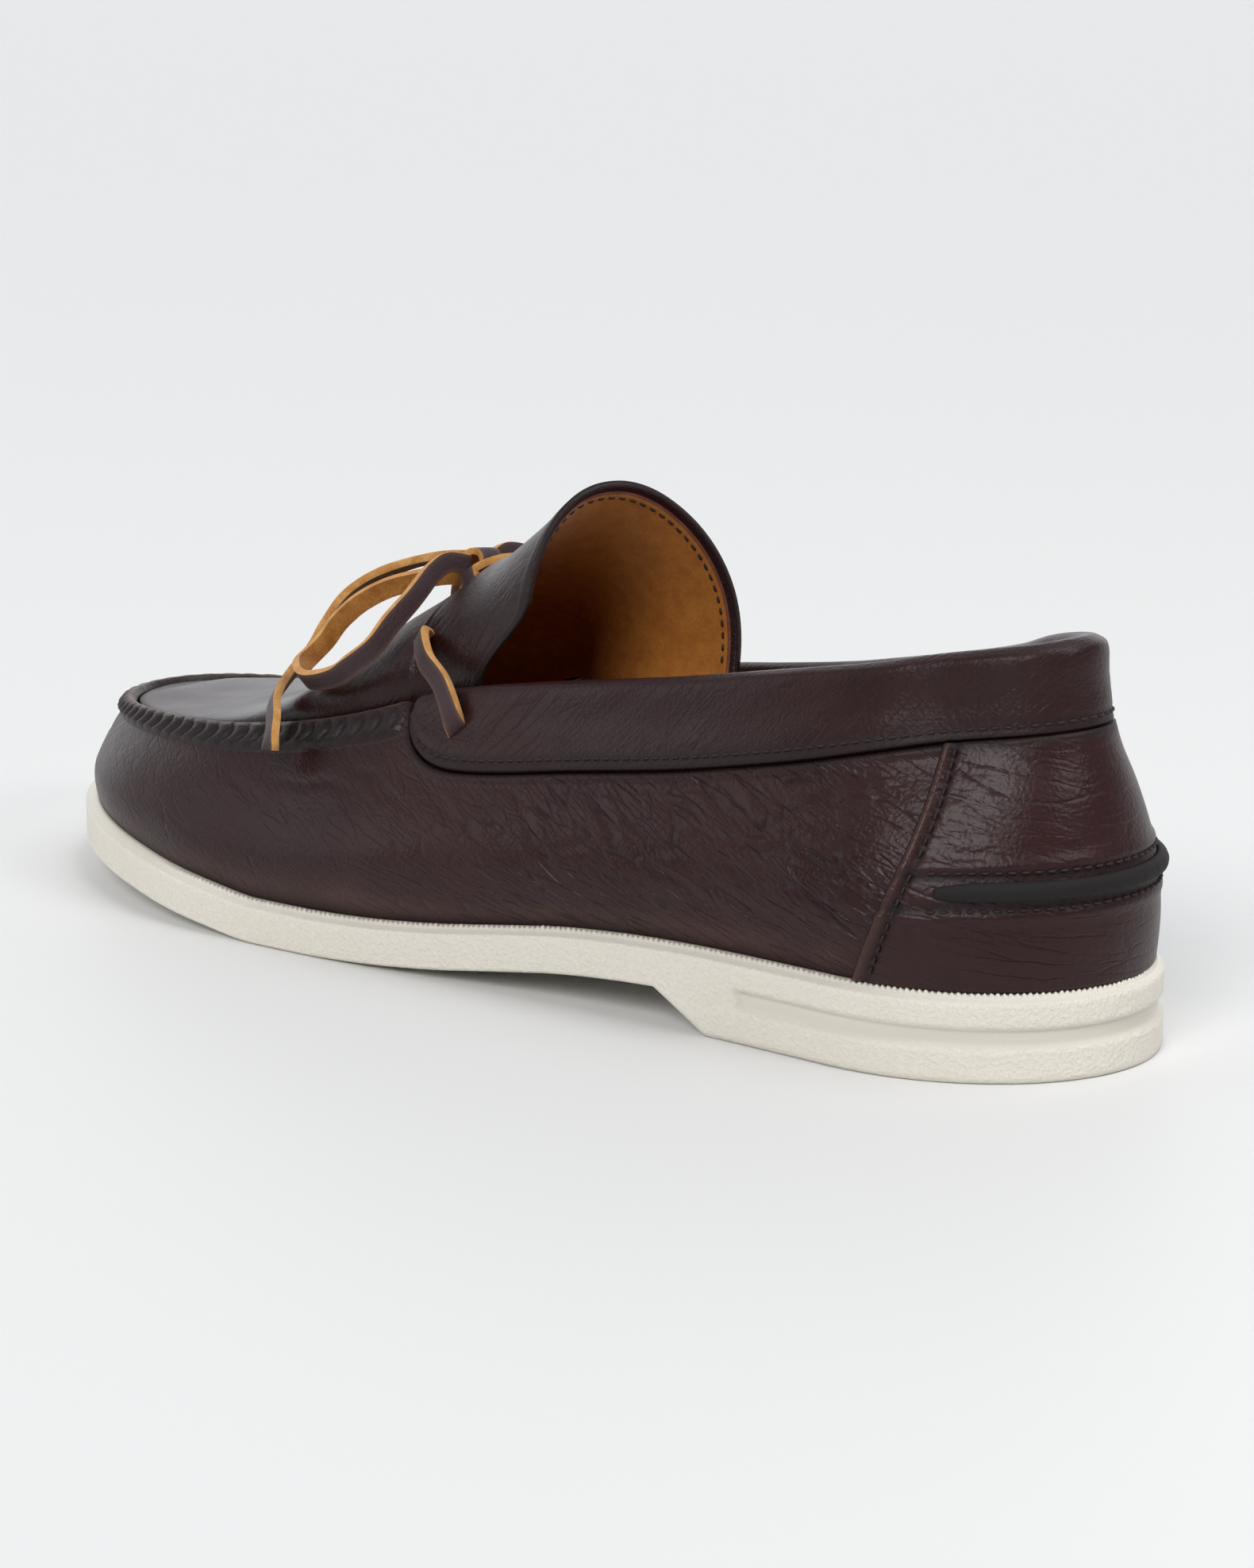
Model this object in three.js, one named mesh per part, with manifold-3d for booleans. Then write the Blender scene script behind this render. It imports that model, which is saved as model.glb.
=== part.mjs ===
// Boat shoe for the left foot, standing on its sole.
// X runs from heel to toe, Y to the outer side of the foot, Z up. Lengths are millimetres.
import * as THREE from 'three';
import { mergeVertices } from 'three/addons/utils/BufferGeometryUtils.js';
import Module from 'manifold-3d';

const wasm = await Module();
wasm.setup();

// Driving sizes of the sole
const outsoleLength = 306;
const ballWidth = 107;
const soleThickness = 8.2;
const heelLift = 8.3;
const toeSpring = 8.0;
const ledgeWidth = 2.8;
const ledgeRise = 1.5;
const sideBevel = 0.9;
const grooveDepth = 1.3;

// Driving sizes of the last: the top line is the moccasin seam in front and the collar behind
const collarHeight = 84;
const toeBoxHeight = 37;
const heelLean = 12.5;
const toeLean = 10;
const tongueHeight = 103;

// Thicknesses and small steps
const wallThickness = 2.0;
const tongueThickness = 2.2;
const insoleThickness = 4.0;
const counterThickness = 0.8;
const seamRidgeProud = 1.4;
const seamRidgeRise = 0.7;
const collarProud = 1.1;
const collarRoll = 1.6;
const collarPadFront = 4.2;
const collarPadHeel = 6.5;
const stripHeight = 5.2;
const stripThickness = 2.2;
const clearance = 0.3;

// Outline of the sole, heel to toe: shares of the half ball width
const soleOutline = [
  { at: 0.00, centre: 0.009, half: 0.720 },
  { at: 0.18, centre: 0.030, half: 0.727 },
  { at: 0.27, centre: 0.056, half: 0.729 },
  { at: 0.36, centre: 0.101, half: 0.736 },
  { at: 0.45, centre: 0.131, half: 0.776 },
  { at: 0.55, centre: 0.129, half: 0.867 },
  { at: 0.65, centre: 0.095, half: 0.964 },
  { at: 0.72, centre: 0.069, half: 1.000 },
  { at: 0.80, centre: 0.030, half: 1.000 },
  { at: 0.87, centre: -0.011, half: 1.000 },
  { at: 0.93, centre: -0.060, half: 1.000 },
  { at: 1.00, centre: -0.112, half: 1.000 },
];
const soleHeelRoundShare = 0.15;
const soleToeRoundShare = 0.28;

// Side edge of the sole: shares of the heel lift and of the toe spring
const soleSide = [
  { at: 0.000, lift: 1.000, spring: 0.00 },
  { at: 0.250, lift: 1.000, spring: 0.00 },
  { at: 0.300, lift: 0.965, spring: 0.00 },
  { at: 0.343, lift: 0.890, spring: 0.00 },
  { at: 0.380, lift: 0.780, spring: 0.00 },
  { at: 0.410, lift: 0.640, spring: 0.00 },
  { at: 0.444, lift: 0.470, spring: 0.00 },
  { at: 0.480, lift: 0.290, spring: 0.00 },
  { at: 0.513, lift: 0.170, spring: 0.00 },
  { at: 0.550, lift: 0.070, spring: 0.00 },
  { at: 0.600, lift: 0.000, spring: 0.00 },
  { at: 0.655, lift: 0.000, spring: 0.00 },
  { at: 0.700, lift: 0.000, spring: 0.18 },
  { at: 0.740, lift: 0.000, spring: 0.34 },
  { at: 0.800, lift: 0.000, spring: 0.57 },
  { at: 0.860, lift: 0.000, spring: 0.76 },
  { at: 0.920, lift: 0.000, spring: 0.90 },
  { at: 1.000, lift: 0.000, spring: 1.00 },
];
const heelBlockEndShare = 0.252;
const heelBreastTopShare = 0.296;
const grooveEndShare = 0.225;
const grooveFadeShare = 0.232;

// Top line, heel to toe: widths are shares of the half ball width,
// heights are shares of the way from toe box height to collar height
const topLine = [
  { at: 0.000, centre: 0.000, half: 0.355, outer: 1.000, inner: 1.000 },
  { at: 0.070, centre: 0.000, half: 0.364, outer: 0.936, inner: 0.915 },
  { at: 0.120, centre: 0.019, half: 0.439, outer: 0.879, inner: 0.819 },
  { at: 0.200, centre: 0.037, half: 0.495, outer: 0.794, inner: 0.708 },
  { at: 0.300, centre: 0.047, half: 0.523, outer: 0.681, inner: 0.585 },
  { at: 0.410, centre: 0.056, half: 0.551, outer: 0.574, inner: 0.485 },
  { at: 0.530, centre: 0.047, half: 0.589, outer: 0.440, inner: 0.379 },
  { at: 0.575, centre: 0.037, half: 0.617, outer: 0.347, inner: 0.309 },
  { at: 0.630, centre: 0.028, half: 0.664, outer: 0.251, inner: 0.213 },
  { at: 0.680, centre: 0.019, half: 0.701, outer: 0.187, inner: 0.128 },
  { at: 0.740, centre: 0.000, half: 0.738, outer: 0.134, inner: 0.070 },
  { at: 0.810, centre: -0.019, half: 0.748, outer: 0.096, inner: 0.017 },
  { at: 0.880, centre: -0.037, half: 0.748, outer: 0.064, inner: -0.020 },
  { at: 0.940, centre: -0.056, half: 0.748, outer: 0.030, inner: -0.034 },
  { at: 1.000, centre: -0.075, half: 0.748, outer: 0.000, inner: -0.017 },
];
const topHeelRoundShare = 0.10;
const topToeRoundShare = 0.265;

// Wall of the last: at each share of its height, the share of the way in from sole to top line
const wallProfile = [
  { up: 0.00, heel: 0.00, quarter: 0.00, fore: 0.00, toe: 0.00 },
  { up: 0.14, heel: -0.06, quarter: -0.26, fore: -0.05, toe: -0.09 },
  { up: 0.28, heel: -0.02, quarter: -0.36, fore: -0.04, toe: -0.07 },
  { up: 0.42, heel: 0.15, quarter: -0.20, fore: 0.06, toe: 0.10 },
  { up: 0.56, heel: 0.42, quarter: 0.14, fore: 0.20, toe: 0.30 },
  { up: 0.70, heel: 0.76, quarter: 0.50, fore: 0.40, toe: 0.53 },
  { up: 0.85, heel: 0.96, quarter: 0.82, fore: 0.68, toe: 0.77 },
  { up: 1.00, heel: 1.00, quarter: 1.00, fore: 1.00, toe: 1.00 },
];

// Seam under the collar: the share of the wall's height where the quarter ends
const collarSeam = [
  { at: 0.000, up: 0.755 },
  { at: 0.080, up: 0.745 },
  { at: 0.120, up: 0.735 },
  { at: 0.200, up: 0.700 },
  { at: 0.300, up: 0.665 },
  { at: 0.410, up: 0.650 },
  { at: 0.470, up: 0.655 },
  { at: 0.505, up: 0.685 },
  { at: 0.530, up: 0.760 },
  { at: 0.545, up: 0.860 },
  { at: 0.556, up: 1.000 },
];
const collarEndShare = 0.547;
const ridgeStartShare = 0.556;

// Tongue and plug, free edge to toe. ridge is the share of the way from toe box height to
// tongue height, lean the share of tongue height that the crown stands ahead of its edges,
// free is 0 where the edge is sewn to the seam and 1 where it hangs inside the collar, and
// askew is how much the row turns back at its inner side and rounds its outer corner
const tongueRows = [
  { at: 0.450, ridge: 1.000, lean: 0.070, free: 1.00, askew: 1.00 },
  { at: 0.485, ridge: 0.870, lean: 0.060, free: 1.00, askew: 0.72 },
  { at: 0.520, ridge: 0.755, lean: 0.050, free: 1.00, askew: 0.40 },
  { at: 0.549, ridge: 0.675, lean: 0.042, free: 1.00, askew: 0.00 },
  { at: 0.566, ridge: 0.625, lean: 0.035, free: 0.50, askew: 0.00 },
  { at: 0.590, ridge: 0.560, lean: 0.030, free: 0.00, askew: 0.00 },
  { at: 0.626, ridge: 0.460, lean: 0.020, free: 0.00, askew: 0.00 },
  { at: 0.672, ridge: 0.330, lean: 0.010, free: 0.00, askew: 0.00 },
  { at: 0.721, ridge: 0.200, lean: 0.000, free: 0.00, askew: 0.00 },
  { at: 0.764, ridge: 0.125, lean: 0.000, free: 0.00, askew: 0.00 },
  { at: 0.810, ridge: 0.085, lean: 0.000, free: 0.00, askew: 0.00 },
  { at: 0.870, ridge: 0.045, lean: 0.000, free: 0.00, askew: 0.00 },
  { at: 0.930, ridge: 0.020, lean: 0.000, free: 0.00, askew: 0.00 },
  { at: 0.965, ridge: 0.005, lean: 0.000, free: 0.00, askew: 0.00 },
  { at: 0.988, ridge: -0.012, lean: 0.000, free: 0.00, askew: 0.00 },
];
const tongueArchPower = 2.25;
const tongueSwell = 3.0;
const tongueInnerSwell = 4.4;
const tongueSwellFullRise = 40;
const tongueAskewShare = 0.050;
const tongueCornerLowShare = 0.12;
const tongueCornerHighShare = 0.52;
const tongueTuck = 6;
const sewnInset = 1.9;

// Flat rawhide lace: it comes out of the tongue beside the knot and at a slit on each side
const laceWidth = 4.5;
const laceThickness = 2.0;
const slitAtShare = 0.558;
const slitAcrossShare = 0.57;
const barAcrossShare = 0.22;
const strapStandOff = 1.6;
const knotAtShare = 0.5765;
const knotSize = 6.2;
const strapDropShare = 0.06;
const strapEndAtShare = 0.497;
const strapEndUpShare = 0.87;
const strapCrestAtShare = 0.517;

// Paths of the loose lace: along is a share of the outsole length, out the share of the half ball
// width away from the knot, up a share of the way from toe box height to tongue height
const lacePaths = {
  loop: [
    { along: 0.6058, out: 0.040, up: 0.610 },
    { along: 0.6190, out: 0.088, up: 0.606 },
    { along: 0.6367, out: 0.150, up: 0.582 },
    { along: 0.6550, out: 0.206, up: 0.553 },
    { along: 0.6701, out: 0.271, up: 0.505 },
    { along: 0.6810, out: 0.336, up: 0.442 },
    { along: 0.6860, out: 0.402, up: 0.373 },
    { along: 0.6850, out: 0.495, up: 0.330 },
    { along: 0.6755, out: 0.590, up: 0.312 },
    { along: 0.6530, out: 0.685, up: 0.300 },
    { along: 0.6370, out: 0.712, up: 0.308 },
    { along: 0.6150, out: 0.712, up: 0.338 },
    { along: 0.5987, out: 0.720, up: 0.385 },
    { along: 0.5837, out: 0.680, up: 0.445 },
    { along: 0.5804, out: 0.595, up: 0.515 },
    { along: 0.5853, out: 0.430, up: 0.590 },
    { along: 0.5943, out: 0.271, up: 0.650 },
    { along: 0.5973, out: 0.168, up: 0.669 },
    { along: 0.5948, out: 0.071, up: 0.652 },
  ],
  frontEnd: [
    { along: 0.6042, out: 0.009, up: 0.676 },
    { along: 0.6225, out: 0.032, up: 0.666 },
    { along: 0.6648, out: 0.075, up: 0.608 },
    { along: 0.6903, out: 0.121, up: 0.551 },
    { along: 0.7075, out: 0.178, up: 0.480 },
    { along: 0.7145, out: 0.252, up: 0.393 },
    { along: 0.7108, out: 0.355, up: 0.320 },
    { along: 0.7010, out: 0.533, up: 0.255 },
    { along: 0.6740, out: 0.750, up: 0.215 },
    { along: 0.6560, out: 0.850, up: 0.165 },
    { along: 0.6500, out: 0.895, up: 0.118 },
    { along: 0.6490, out: 0.905, up: 0.086 },
  ],
};

const halfBall = ballWidth / 2;
const soleTopGap = clearance;

// Smooth value of a table's column at a place along it
function smooth(rows, key, column, place) {
  const last = rows.length - 1;
  if (place <= rows[0][key]) return rows[0][column];
  if (place >= rows[last][key]) return rows[last][column];
  let i = 0;
  while (rows[i + 1][key] < place) i += 1;
  const slope = (k) => {
    const a = rows[Math.max(0, k - 1)];
    const b = rows[Math.min(last, k + 1)];
    return (b[column] - a[column]) / (b[key] - a[key]);
  };
  const span = rows[i + 1][key] - rows[i][key];
  const u = (place - rows[i][key]) / span;
  const u2 = u * u;
  const u3 = u2 * u;
  return (2 * u3 - 3 * u2 + 1) * rows[i][column]
    + (u3 - 2 * u2 + u) * span * slope(i)
    + (3 * u2 - 2 * u3) * rows[i + 1][column]
    + (u3 - u2) * span * slope(i + 1);
}

// Rounding of an outline's two ends, as a share of its full width
function endRound(at, heelRound, toeRound) {
  if (at < heelRound) return Math.sqrt(Math.max(0, 1 - (1 - at / heelRound) ** 2));
  const toeStart = 1 - toeRound;
  if (at > toeStart) return Math.sqrt(Math.max(0, 1 - ((at - toeStart) / toeRound) ** 2));
  return 1;
}

// A turn of 0 is the back of the heel, half a turn is the toe; the outer side comes first
const alongOf = (turn) => (1 - Math.cos(turn)) / 2;
const turnOf = (at) => Math.acos(1 - 2 * at);
const sideOf = (turn) => (Math.sin(turn) >= 0 ? 1 : -1);

function solePlan(turn) {
  const at = alongOf(turn);
  const half = smooth(soleOutline, 'at', 'half', at) * endRound(at, soleHeelRoundShare, soleToeRoundShare);
  const y = halfBall * (smooth(soleOutline, 'at', 'centre', at) + sideOf(turn) * half);
  return new THREE.Vector2(outsoleLength * (at - 0.5), y);
}

function soleOutward(turn) {
  const step = 0.001;
  const way = solePlan(turn + step).sub(solePlan(turn - step)).normalize();
  return new THREE.Vector2(-way.y, way.x);
}

function soleRim(at) {
  const rise = heelLift * smooth(soleSide, 'at', 'lift', at) + toeSpring * smooth(soleSide, 'at', 'spring', at);
  return soleThickness + Math.max(0, rise);
}

function soleUnder(at) {
  const waist = soleRim(Math.max(at, heelBreastTopShare)) - soleThickness;
  if (at <= heelBlockEndShare) return 0;
  if (at >= heelBreastTopShare) return waist;
  return waist * (at - heelBlockEndShare) / (heelBreastTopShare - heelBlockEndShare);
}

function soleEdge(turn, out, height) {
  const plan = solePlan(turn);
  const outward = soleOutward(turn);
  return new THREE.Vector3(plan.x + out * outward.x, plan.y + out * outward.y, height);
}

const featherHeight = (at) => soleRim(at) + ledgeRise;
const feather = (turn) => soleEdge(turn, -ledgeWidth, featherHeight(alongOf(turn)) + soleTopGap);

// Point of the top line above a turn
function topPoint(turn) {
  const at = alongOf(turn);
  const heelX = -outsoleLength / 2 + heelLean;
  const toeX = outsoleLength / 2 - toeLean;
  const half = smooth(topLine, 'at', 'half', at) * endRound(at, topHeelRoundShare, topToeRoundShare);
  const y = halfBall * (smooth(topLine, 'at', 'centre', at) + sideOf(turn) * half);
  const sway = Math.sin(turn);
  const outerShare = THREE.MathUtils.clamp(0.5 + 0.675 * sway / (0.35 + Math.abs(sway)), 0, 1);
  const share = smooth(topLine, 'at', 'inner', at) * (1 - outerShare)
    + smooth(topLine, 'at', 'outer', at) * outerShare;
  return new THREE.Vector3(heelX + (toeX - heelX) * at, y, toeBoxHeight + (collarHeight - toeBoxHeight) * share);
}

// The top line moved in towards the foot
function topInset(turn, inset) {
  const step = 0.001;
  const way = topPoint(turn + step).sub(topPoint(turn - step)).setZ(0).normalize();
  return topPoint(turn).add(new THREE.Vector3(way.y, -way.x, 0).multiplyScalar(inset));
}

function shareIn(at, up) {
  const form = (name) => smooth(wallProfile, 'up', name, up);
  const rows = [
    { at: 0.00, share: form('heel') },
    { at: 0.06, share: form('heel') },
    { at: 0.20, share: form('quarter') },
    { at: 0.45, share: form('quarter') },
    { at: 0.68, share: form('fore') },
    { at: 0.86, share: form('fore') },
    { at: 1.00, share: form('toe') },
  ];
  return smooth(rows, 'at', 'share', at);
}

// Surface of the last: a turn round the foot and a share of the wall's height
function lastPoint(turn, up) {
  const low = feather(turn);
  const high = topPoint(turn);
  const share = shareIn(alongOf(turn), up);
  return new THREE.Vector3(
    low.x + (high.x - low.x) * share,
    low.y + (high.y - low.y) * share,
    low.z + (high.z - low.z) * up,
  );
}

function lastOutward(turn, up) {
  const step = 0.01;
  const round = lastPoint(turn + step, up).sub(lastPoint(turn - step, up));
  const rise = lastPoint(turn, Math.min(1, up + step)).sub(lastPoint(turn, Math.max(0, up - step)));
  return rise.cross(round).normalize();
}

const offLast = (turn, up, out) => lastPoint(turn, up).addScaledVector(lastOutward(turn, up), out);

// Turns once round the shoe, the same on both sides, with named places added
function turnsAround(count, places) {
  const half = [];
  for (let i = 0; i <= count; i += 1) half.push(Math.PI * i / count);
  for (const at of places) half.push(turnOf(at));
  half.sort((a, b) => a - b);
  const apart = half.filter((turn, i) => i === 0 || turn - half[i - 1] > 0.004);
  const back = apart.slice(1, -1).reverse().map((turn) => 2 * Math.PI - turn);
  return [...apart, ...back];
}

function makeGeometry(points, triangles) {
  const geometry = new THREE.BufferGeometry();
  const flat = points.flatMap((p) => [p.x, p.y, p.z]);
  geometry.setAttribute('position', new THREE.Float32BufferAttribute(flat, 3));
  geometry.setIndex(triangles);
  return mergeVertices(geometry, 1e-4);
}

// Signed volume tells whether the faces point out; a body that is inside out is turned
function facingOut(points, triangles) {
  let volume = 0;
  for (let i = 0; i < triangles.length; i += 3) {
    const [a, b, c] = [points[triangles[i]], points[triangles[i + 1]], points[triangles[i + 2]]];
    volume += a.dot(new THREE.Vector3().crossVectors(b, c));
  }
  if (volume > 0) return triangles;
  const turned = [];
  for (let i = 0; i < triangles.length; i += 3) turned.push(triangles[i], triangles[i + 2], triangles[i + 1]);
  return turned;
}

// Body between closed sections whose second half runs back along the first; the two ends are
// closed across from one half to the other, or joined to each other
function loftSections(sections, joinEnds) {
  const points = sections.flat();
  const size = sections[0].length;
  const triangles = [];
  const rows = joinEnds ? sections.length : sections.length - 1;
  for (let i = 0; i < rows; i += 1) {
    const a = i * size;
    const b = ((i + 1) % sections.length) * size;
    for (let j = 0; j < size; j += 1) {
      const k = (j + 1) % size;
      if (2 * j < size) triangles.push(a + j, b + j, b + k, a + j, b + k, a + k);
      else triangles.push(a + j, b + j, a + k, b + j, b + k, a + k);
    }
  }
  if (!joinEnds) {
    const end = (sections.length - 1) * size;
    for (let j = 0; j < size / 2 - 1; j += 1) {
      const across = size - 1 - j;
      triangles.push(j, j + 1, across - 1, j, across - 1, across);
      triangles.push(end + j, end + across - 1, end + j + 1, end + j, end + across, end + across - 1);
    }
  }
  return makeGeometry(points, facingOut(points, triangles));
}

// Body from stacked rings, closed above and below by rungs from one side to the other.
// Each ring starts at the heel; turn i and turn n - i stand at the same place along the shoe
function laddered(rings, rungs) {
  const count = rings[0].length;
  const half = count / 2;
  const points = rings.flat();
  const triangles = [];
  for (let r = 0; r < rings.length - 1; r += 1) {
    for (let i = 0; i < count; i += 1) {
      const k = (i + 1) % count;
      const low = r * count;
      const high = low + count;
      triangles.push(low + i, low + k, high + k, low + i, high + k, high + i);
    }
  }
  for (const [ringIndex, down] of [[0, true], [rings.length - 1, false]]) {
    const start = ringIndex * count;
    const rows = [];
    for (let i = 0; i <= half; i += 1) {
      const left = start + i;
      const right = start + ((count - i) % count);
      const row = [left];
      if (i > 0 && i < half) {
        for (let s = 1; s < rungs; s += 1) {
          row.push(points.length);
          points.push(points[left].clone().lerp(points[right], s / rungs));
        }
        row.push(right);
      }
      rows.push(row);
    }
    for (let i = 0; i < half; i += 1) {
      const a = rows[i];
      const b = rows[i + 1];
      for (let s = 0; s < rungs; s += 1) {
        const at = (row, k) => (row.length === 1 ? row[0] : row[k]);
        const quad = [at(a, s), at(b, s), at(b, s + 1), at(a, s + 1)];
        for (const [p, q, w] of [[quad[0], quad[1], quad[2]], [quad[0], quad[2], quad[3]]]) {
          if (p === q || q === w || p === w) continue;
          if (down) triangles.push(p, w, q);
          else triangles.push(p, q, w);
        }
      }
    }
  }
  return makeGeometry(points, facingOut(points, triangles));
}

// Cream rubber unit: flat heel and ball, slanted heel breast, ledge, groove round the heel
function outsole() {
  const turns = turnsAround(34, [grooveEndShare, grooveFadeShare, heelBlockEndShare, heelBreastTopShare, 0.6, 0.655]);
  const groove = (at) => (at <= grooveEndShare ? grooveDepth : 0);
  const ring = (out, share, lift) => turns.map((turn) => {
    const at = alongOf(turn);
    const low = soleUnder(at);
    const inset = out === 'groove' ? -groove(at) : out;
    return soleEdge(turn, inset, low + (soleRim(at) - low) * share + lift);
  });
  return laddered([
    ring(-sideBevel, 0, 0),
    ring(0, 0, sideBevel),
    ring(0, 0.43, 0),
    ring('groove', 0.46, 0),
    ring('groove', 0.66, 0),
    ring(0, 0.69, 0),
    ring(0, 1, -sideBevel / 2),
    ring(-sideBevel / 2, 1, sideBevel / 4),
    ring(-ledgeWidth, 1, ledgeRise),
  ], 4);
}

// Footbed lying on the sole, inside the wall
const insoleEdgeRound = 0.8;

function insole() {
  const turns = turnsAround(26, []);
  const inset = ledgeWidth + wallThickness + 2 * clearance;
  const ring = (out, lift) => turns.map((turn) => soleEdge(turn, -inset - out, featherHeight(alongOf(turn)) + lift));
  const low = clearance;
  return laddered([
    ring(0, low),
    ring(0, low + insoleThickness - insoleEdgeRound),
    ring(insoleEdgeRound, low + insoleThickness),
  ], 3);
}

// Rows of the wall from the sole up; at the moccasin seam the wall steps out as a ridge
const wallRows = [
  { up: 0.00, ridge: 0 },
  { up: 0.14, ridge: 0 },
  { up: 0.28, ridge: 0 },
  { up: 0.42, ridge: 0 },
  { up: 0.56, ridge: 0 },
  { up: 0.70, ridge: 0 },
  { up: 0.84, ridge: 0 },
  { up: 0.87, ridge: 0.9 },
  { up: 0.94, ridge: 1 },
  { up: 1.00, ridge: 0.6 },
];

const wallTurns = turnsAround(38, [0.47, 0.505, 0.53, 0.5435, collarEndShare, ridgeStartShare]);

// Half of the gap between quarter and collar band, as a share of the wall's height there
const seamGap = (turn) => 0.75 * clearance / (topPoint(turn).z - feather(turn).z);

function quarterTop(turn) {
  const at = alongOf(turn);
  if (at >= ridgeStartShare) return 1;
  return smooth(collarSeam, 'at', 'up', at) - seamGap(turn);
}

// Vamp and quarters: one wall round the foot, open above and below
function upper() {
  const sections = wallTurns.map((turn) => {
    const at = alongOf(turn);
    const top = quarterTop(turn);
    const onRidge = at >= ridgeStartShare ? 1 : 0;
    const outer = wallRows.map((row) => offLast(turn, row.up * top, onRidge * row.ridge * seamRidgeProud));
    const inner = wallRows.map((row) => offLast(turn, row.up * top, -wallThickness)).reverse();
    const edge = feather(turn).z;
    for (const foot of [outer[0], inner[inner.length - 1]]) foot.z = edge;
    for (const crest of [outer[outer.length - 1], inner[0]]) crest.z += onRidge * seamRidgeRise;
    return [...outer, ...inner];
  });
  return loftSections(sections, true);
}

// Padded band sewn on above the quarter, rolled over at the collar
// Section of the band, round from its outer foot: share of its height, and shares of how proud
// its outside stands, of its pad's thickness and of its roll
const bandProfile = [
  { share: 0.00, proud: 0.0, pad: 0.00, roll: 0.0 },
  { share: 0.08, proud: 1.0, pad: 0.00, roll: 0.0 },
  { share: 0.50, proud: 1.0, pad: 0.00, roll: 0.0 },
  { share: 0.88, proud: 0.9, pad: 0.00, roll: 0.0 },
  { share: 1.00, proud: 0.2, pad: 0.00, roll: 0.3 },
  { share: 1.00, proud: 0.0, pad: 0.35, roll: 1.0 },
  { share: 1.00, proud: 0.0, pad: 0.75, roll: 0.7 },
  { share: 0.90, proud: 0.0, pad: 1.00, roll: 0.0 },
  { share: 0.50, proud: 0.0, pad: 1.00, roll: 0.0 },
  { share: 0.06, proud: 0.0, pad: 0.58, roll: 0.0 },
];

function collarBand() {
  const turns = wallTurns.filter((turn) => alongOf(turn) <= collarEndShare);
  const ordered = [
    ...turns.filter((turn) => turn > Math.PI),
    ...turns.filter((turn) => turn <= Math.PI),
  ];
  const sections = ordered.map((turn) => {
    const at = alongOf(turn);
    const seam = smooth(collarSeam, 'at', 'up', at) + seamGap(turn);
    const pad = collarPadFront + (collarPadHeel - collarPadFront) * Math.max(0, 1 - at / collarEndShare);
    return bandProfile.map((row) => {
      const point = offLast(turn, seam + (1 - seam) * row.share, collarProud * row.proud - pad * row.pad);
      point.z += collarRoll * row.roll;
      return point;
    });
  });
  return loftSections(sections, false);
}

// Plug over the toes and tall tongue in one piece, its edges inside the seam and the collar.
// across is 1 at the outer edge, 0 at the crown and -1 at the inner edge
function tonguePoint(at, across) {
  const column = (name) => smooth(tongueRows, 'at', name, at);
  const free = column('free');
  const inset = clearance + sewnInset + (collarPadFront + collarProud - sewnInset) * free;
  const drop = seamRidgeRise + (tongueTuck - seamRidgeRise) * free;
  const swing = Math.PI / 2 * across;
  const side = Math.sign(across);
  const wide = Math.abs(Math.sin(swing)) ** (2 / tongueArchPower);
  const high = Math.max(0, Math.cos(swing)) ** (2 / tongueArchPower);
  const askew = Math.max(0, column('askew'));
  const shift = tongueAskewShare * askew;
  const corner = side > 0 ? 1 - THREE.MathUtils.smoothstep(high, tongueCornerLowShare, tongueCornerHighShare) : 0;
  const outer = topInset(turnOf(at + shift * corner), inset);
  const inner = topInset(2 * Math.PI - turnOf(at - shift), inset);
  const crown = toeBoxHeight + (tongueHeight - toeBoxHeight) * column('ridge');
  const sideShare = (1 + side * wide) / 2;
  const foot = THREE.MathUtils.lerp(inner.z, outer.z, sideShare) - drop;
  const rise = Math.max(crown - foot, clearance);
  const fullSwell = side < 0 ? THREE.MathUtils.lerp(tongueSwell, tongueInnerSwell, askew) : tongueSwell;
  const swell = fullSwell * Math.min(1, rise / tongueSwellFullRise) * Math.sin(Math.PI * high);
  return new THREE.Vector3(
    THREE.MathUtils.lerp(inner.x, outer.x, sideShare) + column('lean') * tongueHeight * high * high,
    THREE.MathUtils.lerp(inner.y, outer.y, sideShare) + side * swell,
    foot + rise * high,
  );
}

function tongueSection(at) {
  const steps = 14;
  const points = [];
  for (let i = 0; i <= steps; i += 1) points.push(tonguePoint(at, 1 - 2 * i / steps));
  return points;
}

// Directions on the tongue: ahead towards the toe, and out of its surface
function tongueWays(at, across) {
  const step = 0.004;
  const ahead = tonguePoint(at + step, across).sub(tonguePoint(at - step, across)).normalize();
  const outward = tonguePoint(at, across + step).sub(tonguePoint(at, across - step));
  return { ahead, normal: ahead.clone().cross(outward).normalize() };
}

// Closed shell of one thickness under a sheet of points
function shellUnder(sheet, thickness) {
  const rows = sheet.length;
  const columns = sheet[0].length;
  const under = sheet.map((line, i) => line.map((point, j) => {
    const before = sheet[Math.max(0, i - 1)][j];
    const after = sheet[Math.min(rows - 1, i + 1)][j];
    const left = line[Math.max(0, j - 1)];
    const right = line[Math.min(columns - 1, j + 1)];
    const normal = new THREE.Vector3().subVectors(after, before)
      .cross(new THREE.Vector3().subVectors(right, left)).normalize();
    return point.clone().addScaledVector(normal, -thickness);
  }));
  return loftSections(sheet.map((line, i) => [...line, ...under[i].slice().reverse()]), false);
}

function plugTongue() {
  const sheet = tongueRows.map((row) => tongueSection(row.at)).reverse();
  return shellUnder(sheet, tongueThickness);
}

function toManifold(geometry) {
  return new wasm.Manifold(new wasm.Mesh({
    numProp: 3,
    vertProperties: new Float32Array(geometry.attributes.position.array),
    triVerts: new Uint32Array(geometry.index.array),
  }));
}

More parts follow.
